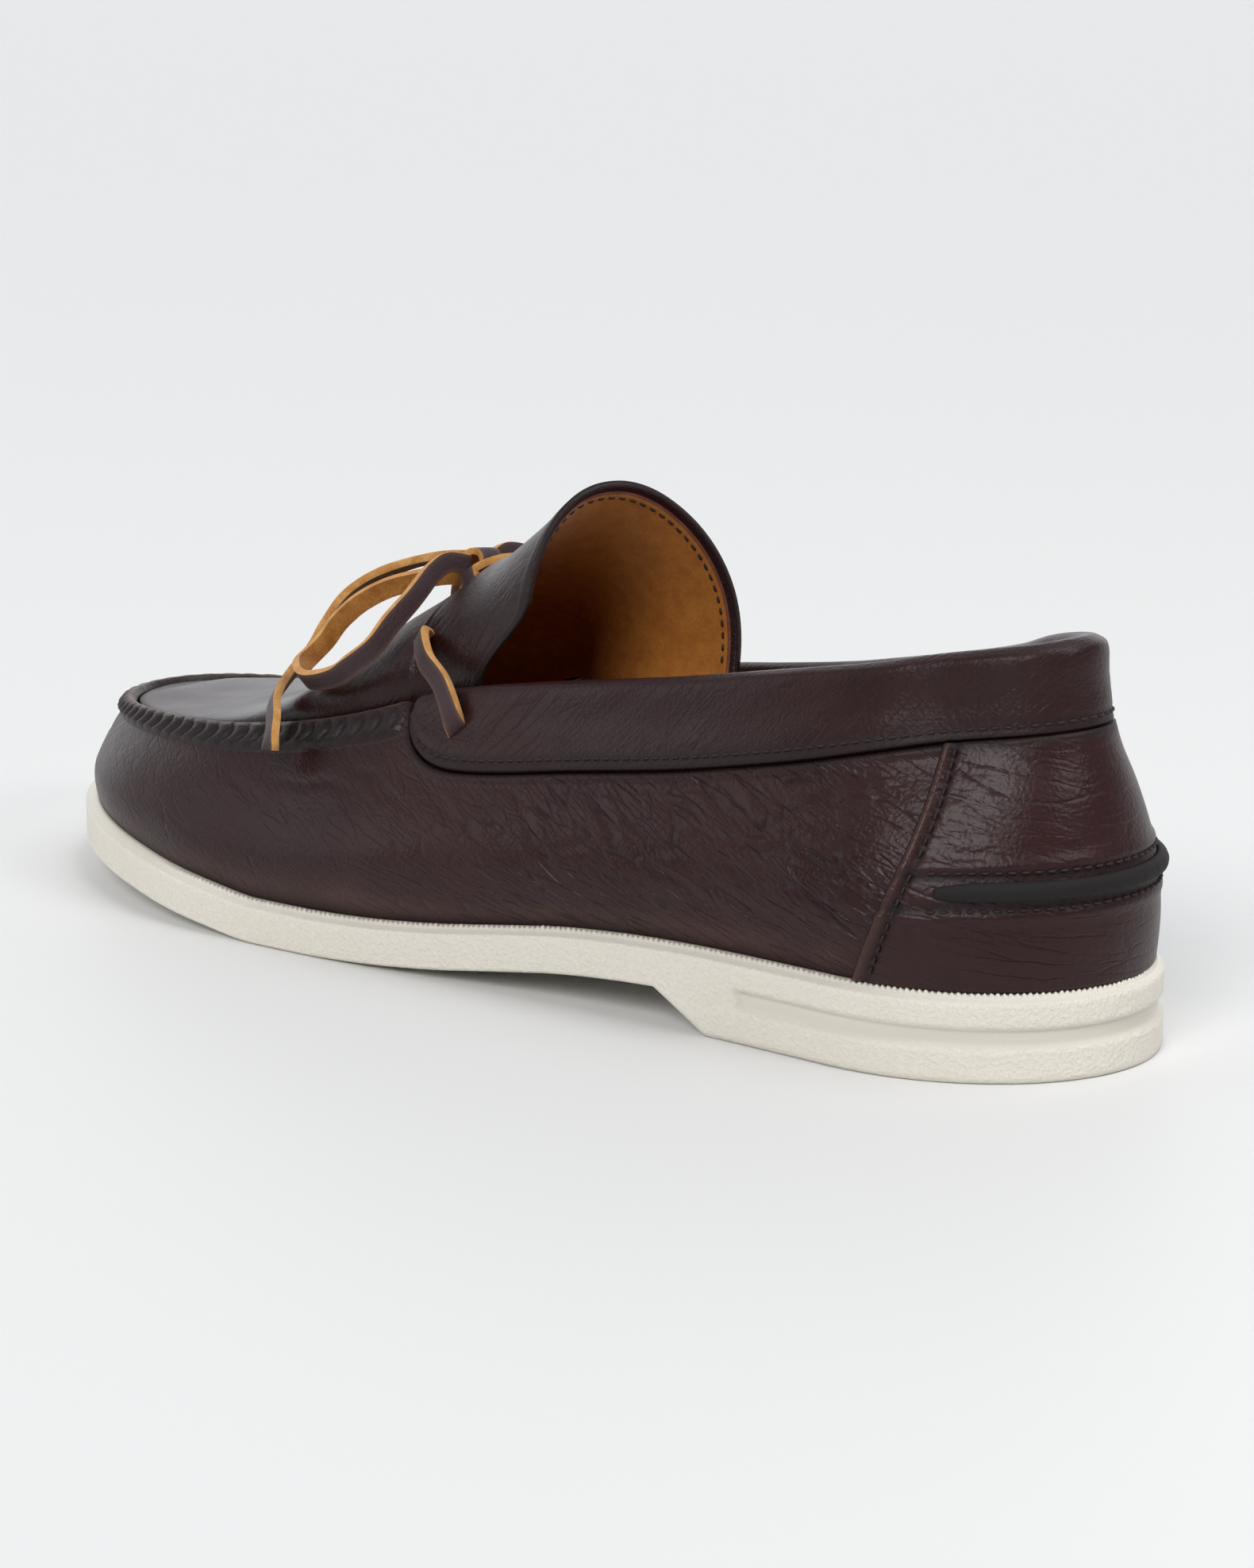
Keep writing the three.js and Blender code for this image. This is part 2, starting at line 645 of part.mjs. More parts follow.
function fromManifold(solid) {
  const mesh = solid.getMesh();
  const geometry = new THREE.BufferGeometry();
  geometry.setAttribute('position', new THREE.Float32BufferAttribute(mesh.vertProperties, 3));
  geometry.setIndex(Array.from(mesh.triVerts));
  return geometry;
}

// Where the slanted seam of the heel counter crosses the wall, as shares of the outsole length
const counterSeamLowShare = 0.131;
const counterSeamHighShare = 0.102;

// Heel counter: the wall's own surface, set out by its thickness and cut along a slanted seam
function heelCounter() {
  const reach = 0.19;
  const turns = wallTurns.filter((turn) => alongOf(turn) <= reach);
  const ordered = [...turns.filter((turn) => turn > Math.PI), ...turns.filter((turn) => turn <= Math.PI)];
  const shell = loftSections(ordered.map((turn) => {
    const top = quarterTop(turn);
    const outer = wallRows.map((row) => offLast(turn, row.up * top, clearance + counterThickness));
    const inner = wallRows.map((row) => offLast(turn, row.up * top, clearance)).reverse();
    return [...outer, ...inner];
  }), false);
  const seam = new THREE.Shape();
  const back = -outsoleLength;
  seam.moveTo(back, soleThickness);
  seam.lineTo(outsoleLength * (counterSeamLowShare - 0.5), soleThickness);
  seam.lineTo(outsoleLength * (counterSeamHighShare - 0.5), collarHeight);
  seam.lineTo(back, collarHeight);
  const cutter = new THREE.ExtrudeGeometry(seam, { depth: 2 * ballWidth, bevelEnabled: false });
  cutter.rotateX(Math.PI / 2);
  cutter.translate(0, ballWidth, 0);
  cutter.deleteAttribute('normal');
  cutter.deleteAttribute('uv');
  return fromManifold(toManifold(shell).intersect(toManifold(mergeVertices(cutter, 1e-4))));
}

// Rounded strip sewn round the back of the heel, thin at its two ends
const stripEndShare = 0.073;
const stripUpShare = 0.312;
const stripTaperShare = 0.45;
const stripTaperSteps = 3;

// Section of the strip: shares of its half height and of its thickness
const stripProfile = [
  { up: -1.0, out: 0.0 },
  { up: -0.9, out: 0.7 },
  { up: -0.4, out: 1.0 },
  { up: 0.4, out: 1.0 },
  { up: 0.9, out: 0.7 },
  { up: 1.0, out: 0.0 },
];

function heelStrip() {
  const steps = 22;
  const endTurn = turnOf(stripEndShare);
  const rest = clearance * 2 + counterThickness;
  const sections = [];
  for (let i = 0; i <= steps; i += 1) {
    const turn = endTurn * (2 * i / steps - 1);
    const at = (turn + 2 * Math.PI) % (2 * Math.PI);
    const wallHeight = topPoint(at).z - feather(at).z;
    const nearEnd = Math.min(1, (steps / 2 - Math.abs(i - steps / 2)) / stripTaperSteps);
    const size = stripTaperShare + (1 - stripTaperShare) * nearEnd;
    const half = stripHeight * size / 2 / wallHeight;
    const thick = stripThickness * size;
    sections.push(stripProfile.map((row) => offLast(at, stripUpShare + half * row.up, rest + thick * row.out)));
  }
  return loftSections(sections, false);
}

// Flat strip along a path; its second half of corners runs back along the first
const stripCorners = [
  { wide: -1.0, thick: 0.4 },
  { wide: -0.8, thick: 1.0 },
  { wide: 0.8, thick: 1.0 },
  { wide: 1.0, thick: 0.4 },
  { wide: 1.0, thick: -0.4 },
  { wide: 0.8, thick: -1.0 },
  { wide: -0.8, thick: -1.0 },
  { wide: -1.0, thick: -0.4 },
];

function laceStrip(path, steps, wideAt) {
  const curve = new THREE.CatmullRomCurve3(path, false, 'centripetal');
  const sections = [];
  for (let i = 0; i <= steps; i += 1) {
    const middle = curve.getPointAt(i / steps);
    const way = curve.getTangentAt(i / steps);
    const wide = wideAt(i / steps).projectOnPlane(way).normalize();
    const thick = way.cross(wide);
    sections.push(stripCorners.map((corner) => middle.clone()
      .addScaledVector(wide, corner.wide * laceWidth / 2)
      .addScaledVector(thick, corner.thick * laceThickness / 2)));
  }
  return loftSections(sections, false);
}

// Lace over the tongue's crown beside the knot, flat on it; past its ends it runs inside the tongue
function laceBar() {
  const steps = 16;
  const lift = clearance + laceThickness / 2;
  const acrossAt = (share) => barAcrossShare * (1 - 2 * share);
  const path = [];
  for (let i = 0; i <= steps; i += 1) {
    const across = acrossAt(i / steps);
    path.push(tonguePoint(slitAtShare, across).addScaledVector(tongueWays(slitAtShare, across).normal, lift));
  }
  return laceStrip(path, steps, (share) => tongueWays(slitAtShare, acrossAt(share)).ahead);
}

// Lace from a slit down to the front end of the collar band, side 1 is the outer side; its
// width turns from the first direction to the second
const strapStartWide = new THREE.Vector3(-0.60, 0.14, 0.79);
const strapEndWide = new THREE.Vector3(-0.55, -0.35, 0.75);

function laceStrap(side) {
  const slitSide = side * (slitAcrossShare + strapDropShare);
  const { normal } = tongueWays(slitAtShare, slitSide);
  const start = tonguePoint(slitAtShare, slitSide).addScaledVector(normal, 3 * clearance + laceThickness / 2);
  const turn = side > 0 ? turnOf(strapEndAtShare) : 2 * Math.PI - turnOf(strapEndAtShare);
  const onBand = collarProud + 2 * clearance + laceThickness / 2;
  const end = offLast(turn, strapEndUpShare, onBand);
  const crestTurn = side > 0 ? turnOf(strapCrestAtShare) : 2 * Math.PI - turnOf(strapCrestAtShare);
  const crest = offLast(crestTurn, 1, onBand);
  crest.z += strapStandOff;
  const middle = start.clone().lerp(crest, 0.5);
  middle.y += side * strapStandOff;
  const mirror = new THREE.Vector3(1, side, 1);
  const wideAt = (share) => strapStartWide.clone().lerp(strapEndWide, share).multiply(mirror);
  return laceStrip([start, middle, crest, end], 12, wideAt);
}

// Loose lace along one of the paths, side -1 is its mirror on the inner side
function looseLace(path, side, steps, startWide, endWide) {
  const knotSide = tonguePoint(knotAtShare, 0).y;
  const points = path.map((row) => new THREE.Vector3(
    outsoleLength * (row.along - 0.5),
    knotSide + side * halfBall * row.out,
    toeBoxHeight + (tongueHeight - toeBoxHeight) * row.up,
  ));
  const mirror = new THREE.Vector3(1, side, 1);
  return laceStrip(points, steps, (share) => startWide.clone().lerp(endWide, share).multiply(mirror));
}

const loopWide = new THREE.Vector3(0.27, 0.50, 0.81);
const laceLoop = (side) => looseLace(lacePaths.loop, side, 40, loopWide, loopWide);
const frontEndStartWide = new THREE.Vector3(-0.22, 0.95, 0.15);
const frontEndLastWide = new THREE.Vector3(-0.68, 0, 0.72);
const laceFrontEnd = () => looseLace(lacePaths.frontEnd, 1, 24, frontEndStartWide, frontEndLastWide);

// Lump of the knot, lying on the tongue in front of the lace bar
function laceKnot() {
  const { ahead, normal } = tongueWays(knotAtShare, 0);
  const lump = new THREE.SphereGeometry(knotSize / 2, 12, 8);
  lump.deleteAttribute('uv');
  lump.deleteAttribute('normal');
  const across = normal.clone().cross(ahead);
  lump.applyMatrix4(new THREE.Matrix4().makeBasis(ahead, across, normal));
  const middle = tonguePoint(knotAtShare, 0).addScaledVector(normal, clearance + knotSize / 2);
  lump.translate(middle.x, middle.y, middle.z);
  return mergeVertices(lump, 1e-4);
}

const leather = { color: 0x3a2325, roughness: 0.5, metalness: 0 };
const rawhide = { color: 0x6b4326, roughness: 0.7, metalness: 0 };
const rubber = { color: 0xd8d2c4, roughness: 0.8, metalness: 0 };
const pieces = [
  ['outsole', outsole(), rubber],
  ['insole', insole(), { color: 0xb0722f, roughness: 0.8, metalness: 0 }],
  ['upper', upper(), leather],
  ['collar_band', collarBand(), leather],
  ['heel_counter', heelCounter(), leather],
  ['heel_strip', heelStrip(), { color: 0x241618, roughness: 0.6, metalness: 0 }],
  ['plug_tongue', plugTongue(), leather],
  ['lace_bar', laceBar(), rawhide],
  ['lace_strap_outer', laceStrap(1), rawhide],
  ['lace_strap_inner', laceStrap(-1), rawhide],
  ['lace_knot', laceKnot(), rawhide],
  ['lace_loop_outer', laceLoop(1), rawhide],
  ['lace_loop_inner', laceLoop(-1), rawhide],
  ['lace_front_end', laceFrontEnd(), rawhide],
];

const shoe = new THREE.Group();
for (const [name, geometry, finish] of pieces) {
  const mesh = new THREE.Mesh(geometry, new THREE.MeshStandardMaterial(finish));
  mesh.name = name;
  shoe.add(mesh);
}

// The origin is under the middle of the shoe's box
const box = new THREE.Box3().setFromObject(shoe);
const centre = box.getCenter(new THREE.Vector3());
shoe.position.set(-centre.x, -centre.y, -box.min.z);

export default shoe;
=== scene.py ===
import math
from types import SimpleNamespace

import bpy
import numpy as np
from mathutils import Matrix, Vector


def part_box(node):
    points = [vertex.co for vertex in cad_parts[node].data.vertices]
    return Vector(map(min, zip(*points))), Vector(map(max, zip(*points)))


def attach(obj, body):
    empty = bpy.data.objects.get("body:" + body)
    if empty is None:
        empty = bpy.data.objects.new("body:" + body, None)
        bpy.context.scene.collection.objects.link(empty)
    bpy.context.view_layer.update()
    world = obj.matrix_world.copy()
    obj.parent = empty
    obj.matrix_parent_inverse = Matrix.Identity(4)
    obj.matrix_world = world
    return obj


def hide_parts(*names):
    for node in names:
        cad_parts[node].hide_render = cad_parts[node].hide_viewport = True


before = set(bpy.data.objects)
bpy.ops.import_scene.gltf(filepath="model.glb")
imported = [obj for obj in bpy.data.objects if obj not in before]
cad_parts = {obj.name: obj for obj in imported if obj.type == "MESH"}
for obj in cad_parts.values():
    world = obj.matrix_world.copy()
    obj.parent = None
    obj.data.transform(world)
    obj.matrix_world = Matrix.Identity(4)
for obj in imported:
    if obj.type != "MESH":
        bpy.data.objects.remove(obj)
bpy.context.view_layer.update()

# All shapes are worked out in millimetres in the shoe's own frame: x from heel to toe with 0 at
# half the outsole's length, y to the outer side of the left foot, z up from the floor.

MM = 0.001

# Driving sizes of sole and last
OUTSOLE_LENGTH = 306.0
BALL_WIDTH = 107.0
SOLE_THICKNESS = 8.2
HEEL_LIFT = 8.3
TOE_SPRING = 8.0
LEDGE_WIDTH = 2.8
LEDGE_RISE = 1.5
GROOVE_DEPTH = 1.3
COLLAR_HEIGHT = 84.0
TOE_BOX_HEIGHT = 37.0
HEEL_LEAN = 12.5
TOE_LEAN = 10.0
TONGUE_HEIGHT = 103.0
WALL = 2.0
TONGUE_THICKNESS = 2.2
INSOLE_THICKNESS = 4.0
COUNTER_THICKNESS = 0.8
RIDGE_PROUD = 1.4
RIDGE_RISE = 0.7
COLLAR_PROUD = 1.1
COLLAR_ROLL = 1.6
COLLAR_PAD_FRONT = 4.2
COLLAR_PAD_HEEL = 6.5
STRIP_HEIGHT = 5.2
STRIP_THICKNESS = 2.2
CLEARANCE = 0.3
HALF_BALL = BALL_WIDTH / 2

# Lace
LACE_WIDTH = 4.5
LACE_THICKNESS = 2.0
KNOT_SIZE = 6.2

# Stitching
STITCH_PITCH = 2.6
STITCH_LENGTH = 1.9
THREAD_RADIUS = 0.33


def table(columns, *rows):
    """Columns of numbers by their names."""
    values = np.array(rows, float)
    return {name: values[:, i] for i, name in enumerate(columns.split())}


SOLE_OUTLINE = table(
    "at centre half",
    (0.00, 0.009, 0.720),
    (0.18, 0.030, 0.727),
    (0.27, 0.056, 0.729),
    (0.36, 0.101, 0.736),
    (0.45, 0.131, 0.776),
    (0.55, 0.129, 0.867),
    (0.65, 0.095, 0.964),
    (0.72, 0.069, 1.000),
    (0.80, 0.030, 1.000),
    (0.87, -0.011, 1.000),
    (0.93, -0.060, 1.000),
    (1.00, -0.112, 1.000),
)
SOLE_SIDE = table(
    "at lift spring",
    (0.000, 1.000, 0.00),
    (0.250, 1.000, 0.00),
    (0.300, 0.965, 0.00),
    (0.343, 0.890, 0.00),
    (0.380, 0.780, 0.00),
    (0.410, 0.640, 0.00),
    (0.444, 0.470, 0.00),
    (0.480, 0.290, 0.00),
    (0.513, 0.170, 0.00),
    (0.550, 0.070, 0.00),
    (0.600, 0.000, 0.00),
    (0.655, 0.000, 0.00),
    (0.700, 0.000, 0.18),
    (0.740, 0.000, 0.34),
    (0.800, 0.000, 0.57),
    (0.860, 0.000, 0.76),
    (0.920, 0.000, 0.90),
    (1.000, 0.000, 1.00),
)
HEEL_BLOCK_END = 0.252
HEEL_BREAST_TOP = 0.296
GROOVE_END = 0.225

TOP_LINE = table(
    "at centre half outer inner",
    (0.000, 0.000, 0.355, 1.000, 1.000),
    (0.070, 0.000, 0.364, 0.936, 0.915),
    (0.120, 0.019, 0.439, 0.879, 0.819),
    (0.200, 0.037, 0.495, 0.794, 0.708),
    (0.300, 0.047, 0.523, 0.681, 0.585),
    (0.410, 0.056, 0.551, 0.574, 0.485),
    (0.530, 0.047, 0.589, 0.440, 0.379),
    (0.575, 0.037, 0.617, 0.347, 0.309),
    (0.630, 0.028, 0.664, 0.251, 0.213),
    (0.680, 0.019, 0.701, 0.187, 0.128),
    (0.740, 0.000, 0.738, 0.134, 0.070),
    (0.810, -0.019, 0.748, 0.096, 0.017),
    (0.880, -0.037, 0.748, 0.064, -0.020),
    (0.940, -0.056, 0.748, 0.030, -0.034),
    (1.000, -0.075, 0.748, 0.000, -0.017),
)
WALL_PROFILE = table(
    "up heel quarter fore toe",
    (0.00, 0.00, 0.00, 0.00, 0.00),
    (0.14, -0.06, -0.26, -0.05, -0.09),
    (0.28, -0.02, -0.36, -0.04, -0.07),
    (0.42, 0.15, -0.20, 0.06, 0.10),
    (0.56, 0.42, 0.14, 0.20, 0.30),
    (0.70, 0.76, 0.50, 0.40, 0.53),
    (0.85, 0.96, 0.82, 0.68, 0.77),
    (1.00, 1.00, 1.00, 1.00, 1.00),
)
# Which column of the wall profile holds at each place along the shoe
PROFILE_PLACES = table(
    "at heel quarter fore toe",
    (0.00, 1, 0, 0, 0),
    (0.06, 1, 0, 0, 0),
    (0.20, 0, 1, 0, 0),
    (0.45, 0, 1, 0, 0),
    (0.68, 0, 0, 1, 0),
    (0.86, 0, 0, 1, 0),
    (1.00, 0, 0, 0, 1),
)
COLLAR_SEAM = table(
    "at up",
    (0.000, 0.755),
    (0.080, 0.745),
    (0.120, 0.735),
    (0.200, 0.700),
    (0.300, 0.665),
    (0.410, 0.650),
    (0.470, 0.655),
    (0.505, 0.685),
    (0.530, 0.760),
    (0.545, 0.860),
    (0.556, 1.000),
)
COLLAR_END = 0.547
RIDGE_START = 0.556

TONGUE_ROWS = table(
    "at ridge lean free askew",
    (0.450, 1.000, 0.070, 1.00, 1.00),
    (0.485, 0.870, 0.060, 1.00, 0.72),
    (0.520, 0.755, 0.050, 1.00, 0.40),
    (0.549, 0.675, 0.042, 1.00, 0.00),
    (0.566, 0.625, 0.035, 0.50, 0.00),
    (0.590, 0.560, 0.030, 0.00, 0.00),
    (0.626, 0.460, 0.020, 0.00, 0.00),
    (0.672, 0.330, 0.010, 0.00, 0.00),
    (0.721, 0.200, 0.000, 0.00, 0.00),
    (0.764, 0.125, 0.000, 0.00, 0.00),
    (0.810, 0.085, 0.000, 0.00, 0.00),
    (0.870, 0.045, 0.000, 0.00, 0.00),
    (0.930, 0.020, 0.000, 0.00, 0.00),
    (0.965, 0.005, 0.000, 0.00, 0.00),
    (0.988, -0.012, 0.000, 0.00, 0.00),
)
TONGUE_ARCH_POWER = 2.25
TONGUE_SWELL = 3.0
TONGUE_INNER_SWELL = 4.4
TONGUE_SWELL_FULL_RISE = 40.0
TONGUE_ASKEW = 0.050
TONGUE_CORNER_LOW = 0.12
TONGUE_CORNER_HIGH = 0.52
TONGUE_TUCK = 6.0
SEWN_INSET = 1.9
SLIT_AT = 0.558
SLIT_ACROSS = 0.57
BAR_ACROSS = 0.22
KNOT_AT = 0.5765

# Paths of the loose lace: shares of the outsole length, of the half ball width away from the
# knot, and of the way from toe box height to tongue height
LACE_LOOP = table(
    "along out up",
    (0.6058, 0.040, 0.610),
    (0.6190, 0.088, 0.606),
    (0.6367, 0.150, 0.582),
    (0.6550, 0.206, 0.553),
    (0.6701, 0.271, 0.505),
    (0.6810, 0.336, 0.442),
    (0.6860, 0.402, 0.373),
    (0.6850, 0.495, 0.330),
    (0.6755, 0.590, 0.312),
    (0.6530, 0.685, 0.300),
    (0.6370, 0.712, 0.308),
    (0.6150, 0.712, 0.338),
    (0.5987, 0.720, 0.385),
    (0.5837, 0.680, 0.445),
    (0.5804, 0.595, 0.515),
    (0.5853, 0.430, 0.590),
    (0.5943, 0.271, 0.650),
    (0.5973, 0.168, 0.669),
    (0.5948, 0.071, 0.652),
)
LACE_FRONT_END = table(
    "along out up",
    (0.6042, 0.009, 0.676),
    (0.6225, 0.032, 0.666),
    (0.6648, 0.075, 0.608),
    (0.6903, 0.121, 0.551),
    (0.7075, 0.178, 0.480),
    (0.7145, 0.252, 0.393),
    (0.7108, 0.355, 0.320),
    (0.7010, 0.533, 0.255),
    (0.6740, 0.750, 0.215),
    (0.6560, 0.850, 0.165),
    (0.6500, 0.895, 0.118),
    (0.6490, 0.905, 0.086),
)
# Direction of the width of the lace at the start and at the end of each path
LOOP_WIDE = ((0.27, 0.50, 0.81), (0.27, 0.50, 0.81))
FRONT_END_WIDE = ((-0.22, 0.95, 0.15), (-0.68, 0.0, 0.72))


def smooth(rows, column, place, key="at"):
    """Smooth value of a column at each place along a table."""
    x, y = rows[key], rows[column]
    place = np.clip(place, x[0], x[-1])
    i = np.clip(np.searchsorted(x, place, side="right") - 1, 0, len(x) - 2)
    slope = np.gradient(y, x)
    slope[1:-1] = (y[2:] - y[:-2]) / (x[2:] - x[:-2])
    span = x[i + 1] - x[i]
    u = (place - x[i]) / span
    return (
        (2 * u**3 - 3 * u**2 + 1) * y[i]
        + (u**3 - 2 * u**2 + u) * span * slope[i]
        + (3 * u**2 - 2 * u**3) * y[i + 1]
        + (u**3 - u**2) * span * slope[i + 1]
    )


def ease(low, high, value):
    """0 below low, 1 above high, smooth between them."""
    u = np.clip((value - low) / (high - low), 0, 1)
    return u * u * (3 - 2 * u)


def hill(centre, width, value):
    return np.exp(-(((value - centre) / width) ** 2))


def stack(x, y, z):
    return np.stack(np.broadcast_arrays(x, y, z), axis=-1)


def unit(vectors):
    return vectors / np.maximum(np.linalg.norm(vectors, axis=-1, keepdims=True), 1e-9)


def wander(value, seed, octaves=3):
    """Smooth waviness between -1 and 1 along one or more coordinates."""
    spread = np.random.default_rng(seed).uniform(0, 2 * math.pi, octaves * 2)
    total = 0
    for k in range(octaves):
        first = np.sin(value * 1.7**k + spread[2 * k])
        second = np.cos(value * 0.61 * 1.9**k + spread[2 * k + 1])
        total = total + first * second / 1.5**k
    return total / 2


def along_of(turn):
    return (1 - np.cos(turn)) / 2


def turn_of(at):
    return np.arccos(1 - 2 * at)


def side_of(turn):
    return np.where(np.sin(turn) >= 0, 1.0, -1.0)


def end_round(at, heel, toe):
    rise = np.sqrt(np.clip(1 - (1 - at / heel) ** 2, 0, 1))
    fall = np.sqrt(np.clip(1 - ((at - 1 + toe) / toe) ** 2, 0, 1))
    return np.where(at < heel, rise, np.where(at > 1 - toe, fall, 1.0))


# Sole

def sole_plan(turn):
    at = along_of(turn)
    half = smooth(SOLE_OUTLINE, "half", at) * end_round(at, 0.15, 0.28)
    y = HALF_BALL * (smooth(SOLE_OUTLINE, "centre", at) + side_of(turn) * half)
    return np.stack([OUTSOLE_LENGTH * (at - 0.5), y], axis=-1)


def sole_outward(turn):
    step = 0.001
    way = unit(sole_plan(turn + step) - sole_plan(turn - step))
    return np.stack([-way[..., 1], way[..., 0]], axis=-1)


def sole_rim(at):
    rise = HEEL_LIFT * smooth(SOLE_SIDE, "lift", at) + TOE_SPRING * smooth(SOLE_SIDE, "spring", at)
    return SOLE_THICKNESS + np.maximum(0, rise)


def sole_under(at):
    waist = sole_rim(np.maximum(at, HEEL_BREAST_TOP)) - SOLE_THICKNESS
    breast = np.clip((at - HEEL_BLOCK_END) / (HEEL_BREAST_TOP - HEEL_BLOCK_END), 0, 1)
    return waist * breast


def sole_edge(turn, out, height):
    plan = sole_plan(turn)
    moved = plan + sole_outward(turn) * np.asarray(out)[..., None]
    return stack(moved[..., 0], moved[..., 1], height)


def feather(turn):
    return sole_edge(turn, -LEDGE_WIDTH, sole_rim(along_of(turn)) + LEDGE_RISE + CLEARANCE)


# Last

def top_point(turn):
    at = along_of(turn)
    heel_x = -OUTSOLE_LENGTH / 2 + HEEL_LEAN
    toe_x = OUTSOLE_LENGTH / 2 - TOE_LEAN
    half = smooth(TOP_LINE, "half", at) * end_round(at, 0.10, 0.265)
    y = HALF_BALL * (smooth(TOP_LINE, "centre", at) + side_of(turn) * half)
    sway = np.sin(turn)
    outer = np.clip(0.5 + 0.675 * sway / (0.35 + np.abs(sway)), 0, 1)
    share = smooth(TOP_LINE, "inner", at) * (1 - outer) + smooth(TOP_LINE, "outer", at) * outer
    return stack(heel_x + (toe_x - heel_x) * at, y, TOE_BOX_HEIGHT + (COLLAR_HEIGHT - TOE_BOX_HEIGHT) * share)


def top_inset(turn, inset):
    step = 0.001
    way = top_point(turn + step) - top_point(turn - step)
    way[..., 2] = 0
    way = unit(way)
    return top_point(turn) + stack(way[..., 1], -way[..., 0], 0 * way[..., 0]) * np.asarray(inset)[..., None]


def share_in(at, up):
    total = 0
    for form in ("heel", "quarter", "fore", "toe"):
        total = total + smooth(PROFILE_PLACES, form, at) * smooth(WALL_PROFILE, form, up, key="up")
    return total


def last_point(turn, up):
    turn, up = np.broadcast_arrays(turn, up)
    low, high = feather(turn), top_point(turn)
    share = share_in(along_of(turn), up)
    return stack(
        low[..., 0] + (high[..., 0] - low[..., 0]) * share,
        low[..., 1] + (high[..., 1] - low[..., 1]) * share,
        low[..., 2] + (high[..., 2] - low[..., 2]) * up,
    )


def last_outward(turn, up):
    step = 0.01
    turn, up = np.broadcast_arrays(turn, up)
    around = last_point(turn + step, up) - last_point(turn - step, up)
    rise = last_point(turn, np.minimum(1, up + step)) - last_point(turn, np.maximum(0, up - step))
    return unit(np.cross(rise, around))


def off_last(turn, up, out):
    turn, up, out = np.broadcast_arrays(turn, up, out)
    return last_point(turn, up) + last_outward(turn, up) * out[..., None]


def seam_gap(turn):
    return 0.75 * CLEARANCE / (top_point(turn)[..., 2] - feather(turn)[..., 2])


def quarter_top(turn):
    at = along_of(turn)
    return np.where(at >= RIDGE_START, 1.0, smooth(COLLAR_SEAM, "up", at) - seam_gap(turn))


# Tongue

def tongue_point(at, across):
    at, across = np.broadcast_arrays(np.asarray(at, float), np.asarray(across, float))
    free = smooth(TONGUE_ROWS, "free", at)
    askew = np.maximum(0, smooth(TONGUE_ROWS, "askew", at))
    inset = CLEARANCE + SEWN_INSET + (COLLAR_PAD_FRONT + COLLAR_PROUD - SEWN_INSET) * free
    drop = RIDGE_RISE + (TONGUE_TUCK - RIDGE_RISE) * free
    swing = math.pi / 2 * across
    side = np.sign(across)
    wide = np.abs(np.sin(swing)) ** (2 / TONGUE_ARCH_POWER)
    high = np.maximum(0, np.cos(swing)) ** (2 / TONGUE_ARCH_POWER)
    shift = TONGUE_ASKEW * askew
    corner = np.where(side > 0, 1 - ease(TONGUE_CORNER_LOW, TONGUE_CORNER_HIGH, high), 0)
    outer = top_inset(turn_of(at + shift * corner), inset)
    inner = top_inset(2 * math.pi - turn_of(at - shift), inset)
    crown = TOE_BOX_HEIGHT + (TONGUE_HEIGHT - TOE_BOX_HEIGHT) * smooth(TONGUE_ROWS, "ridge", at)
    share = (1 + side * wide) / 2
    middle = inner + (outer - inner) * share[..., None]
    foot = middle[..., 2] - drop
    rise = np.maximum(crown - foot, CLEARANCE)
    full_swell = TONGUE_SWELL + np.where(side < 0, TONGUE_INNER_SWELL - TONGUE_SWELL, 0) * askew
    swell = full_swell * np.minimum(1, rise / TONGUE_SWELL_FULL_RISE) * np.sin(math.pi * high)
    return stack(
        middle[..., 0] + smooth(TONGUE_ROWS, "lean", at) * TONGUE_HEIGHT * high * high,
        middle[..., 1] + side * swell,
        foot + rise * high,
    )


def tongue_ways(at, across):
    """Directions on the tongue: ahead towards the toe, and out of its surface."""
    step = 0.004
    ahead = unit(tongue_point(at + step, across) - tongue_point(at - step, across))
    sideways = tongue_point(at, across + step) - tongue_point(at, across - step)
    return ahead, unit(np.cross(ahead, sideways))


# The frame's own place of the shoe: where the CAD outsole stands against this frame

outsole_low, outsole_high = [np.array(corner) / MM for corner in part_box("outsole")]
plan_ring = sole_plan(np.linspace(0, 2 * math.pi, 721))
SHIFT = np.array([
    (outsole_low[0] + outsole_high[0]) / 2 - (plan_ring[:, 0].min() + plan_ring[:, 0].max()) / 2,
    (outsole_low[1] + outsole_high[1]) / 2 - (plan_ring[:, 1].min() + plan_ring[:, 1].max()) / 2,
    outsole_low[2],
])


def to_frame(points):
    return (np.asarray(points, float) + SHIFT) * MM


# Mesh helpers

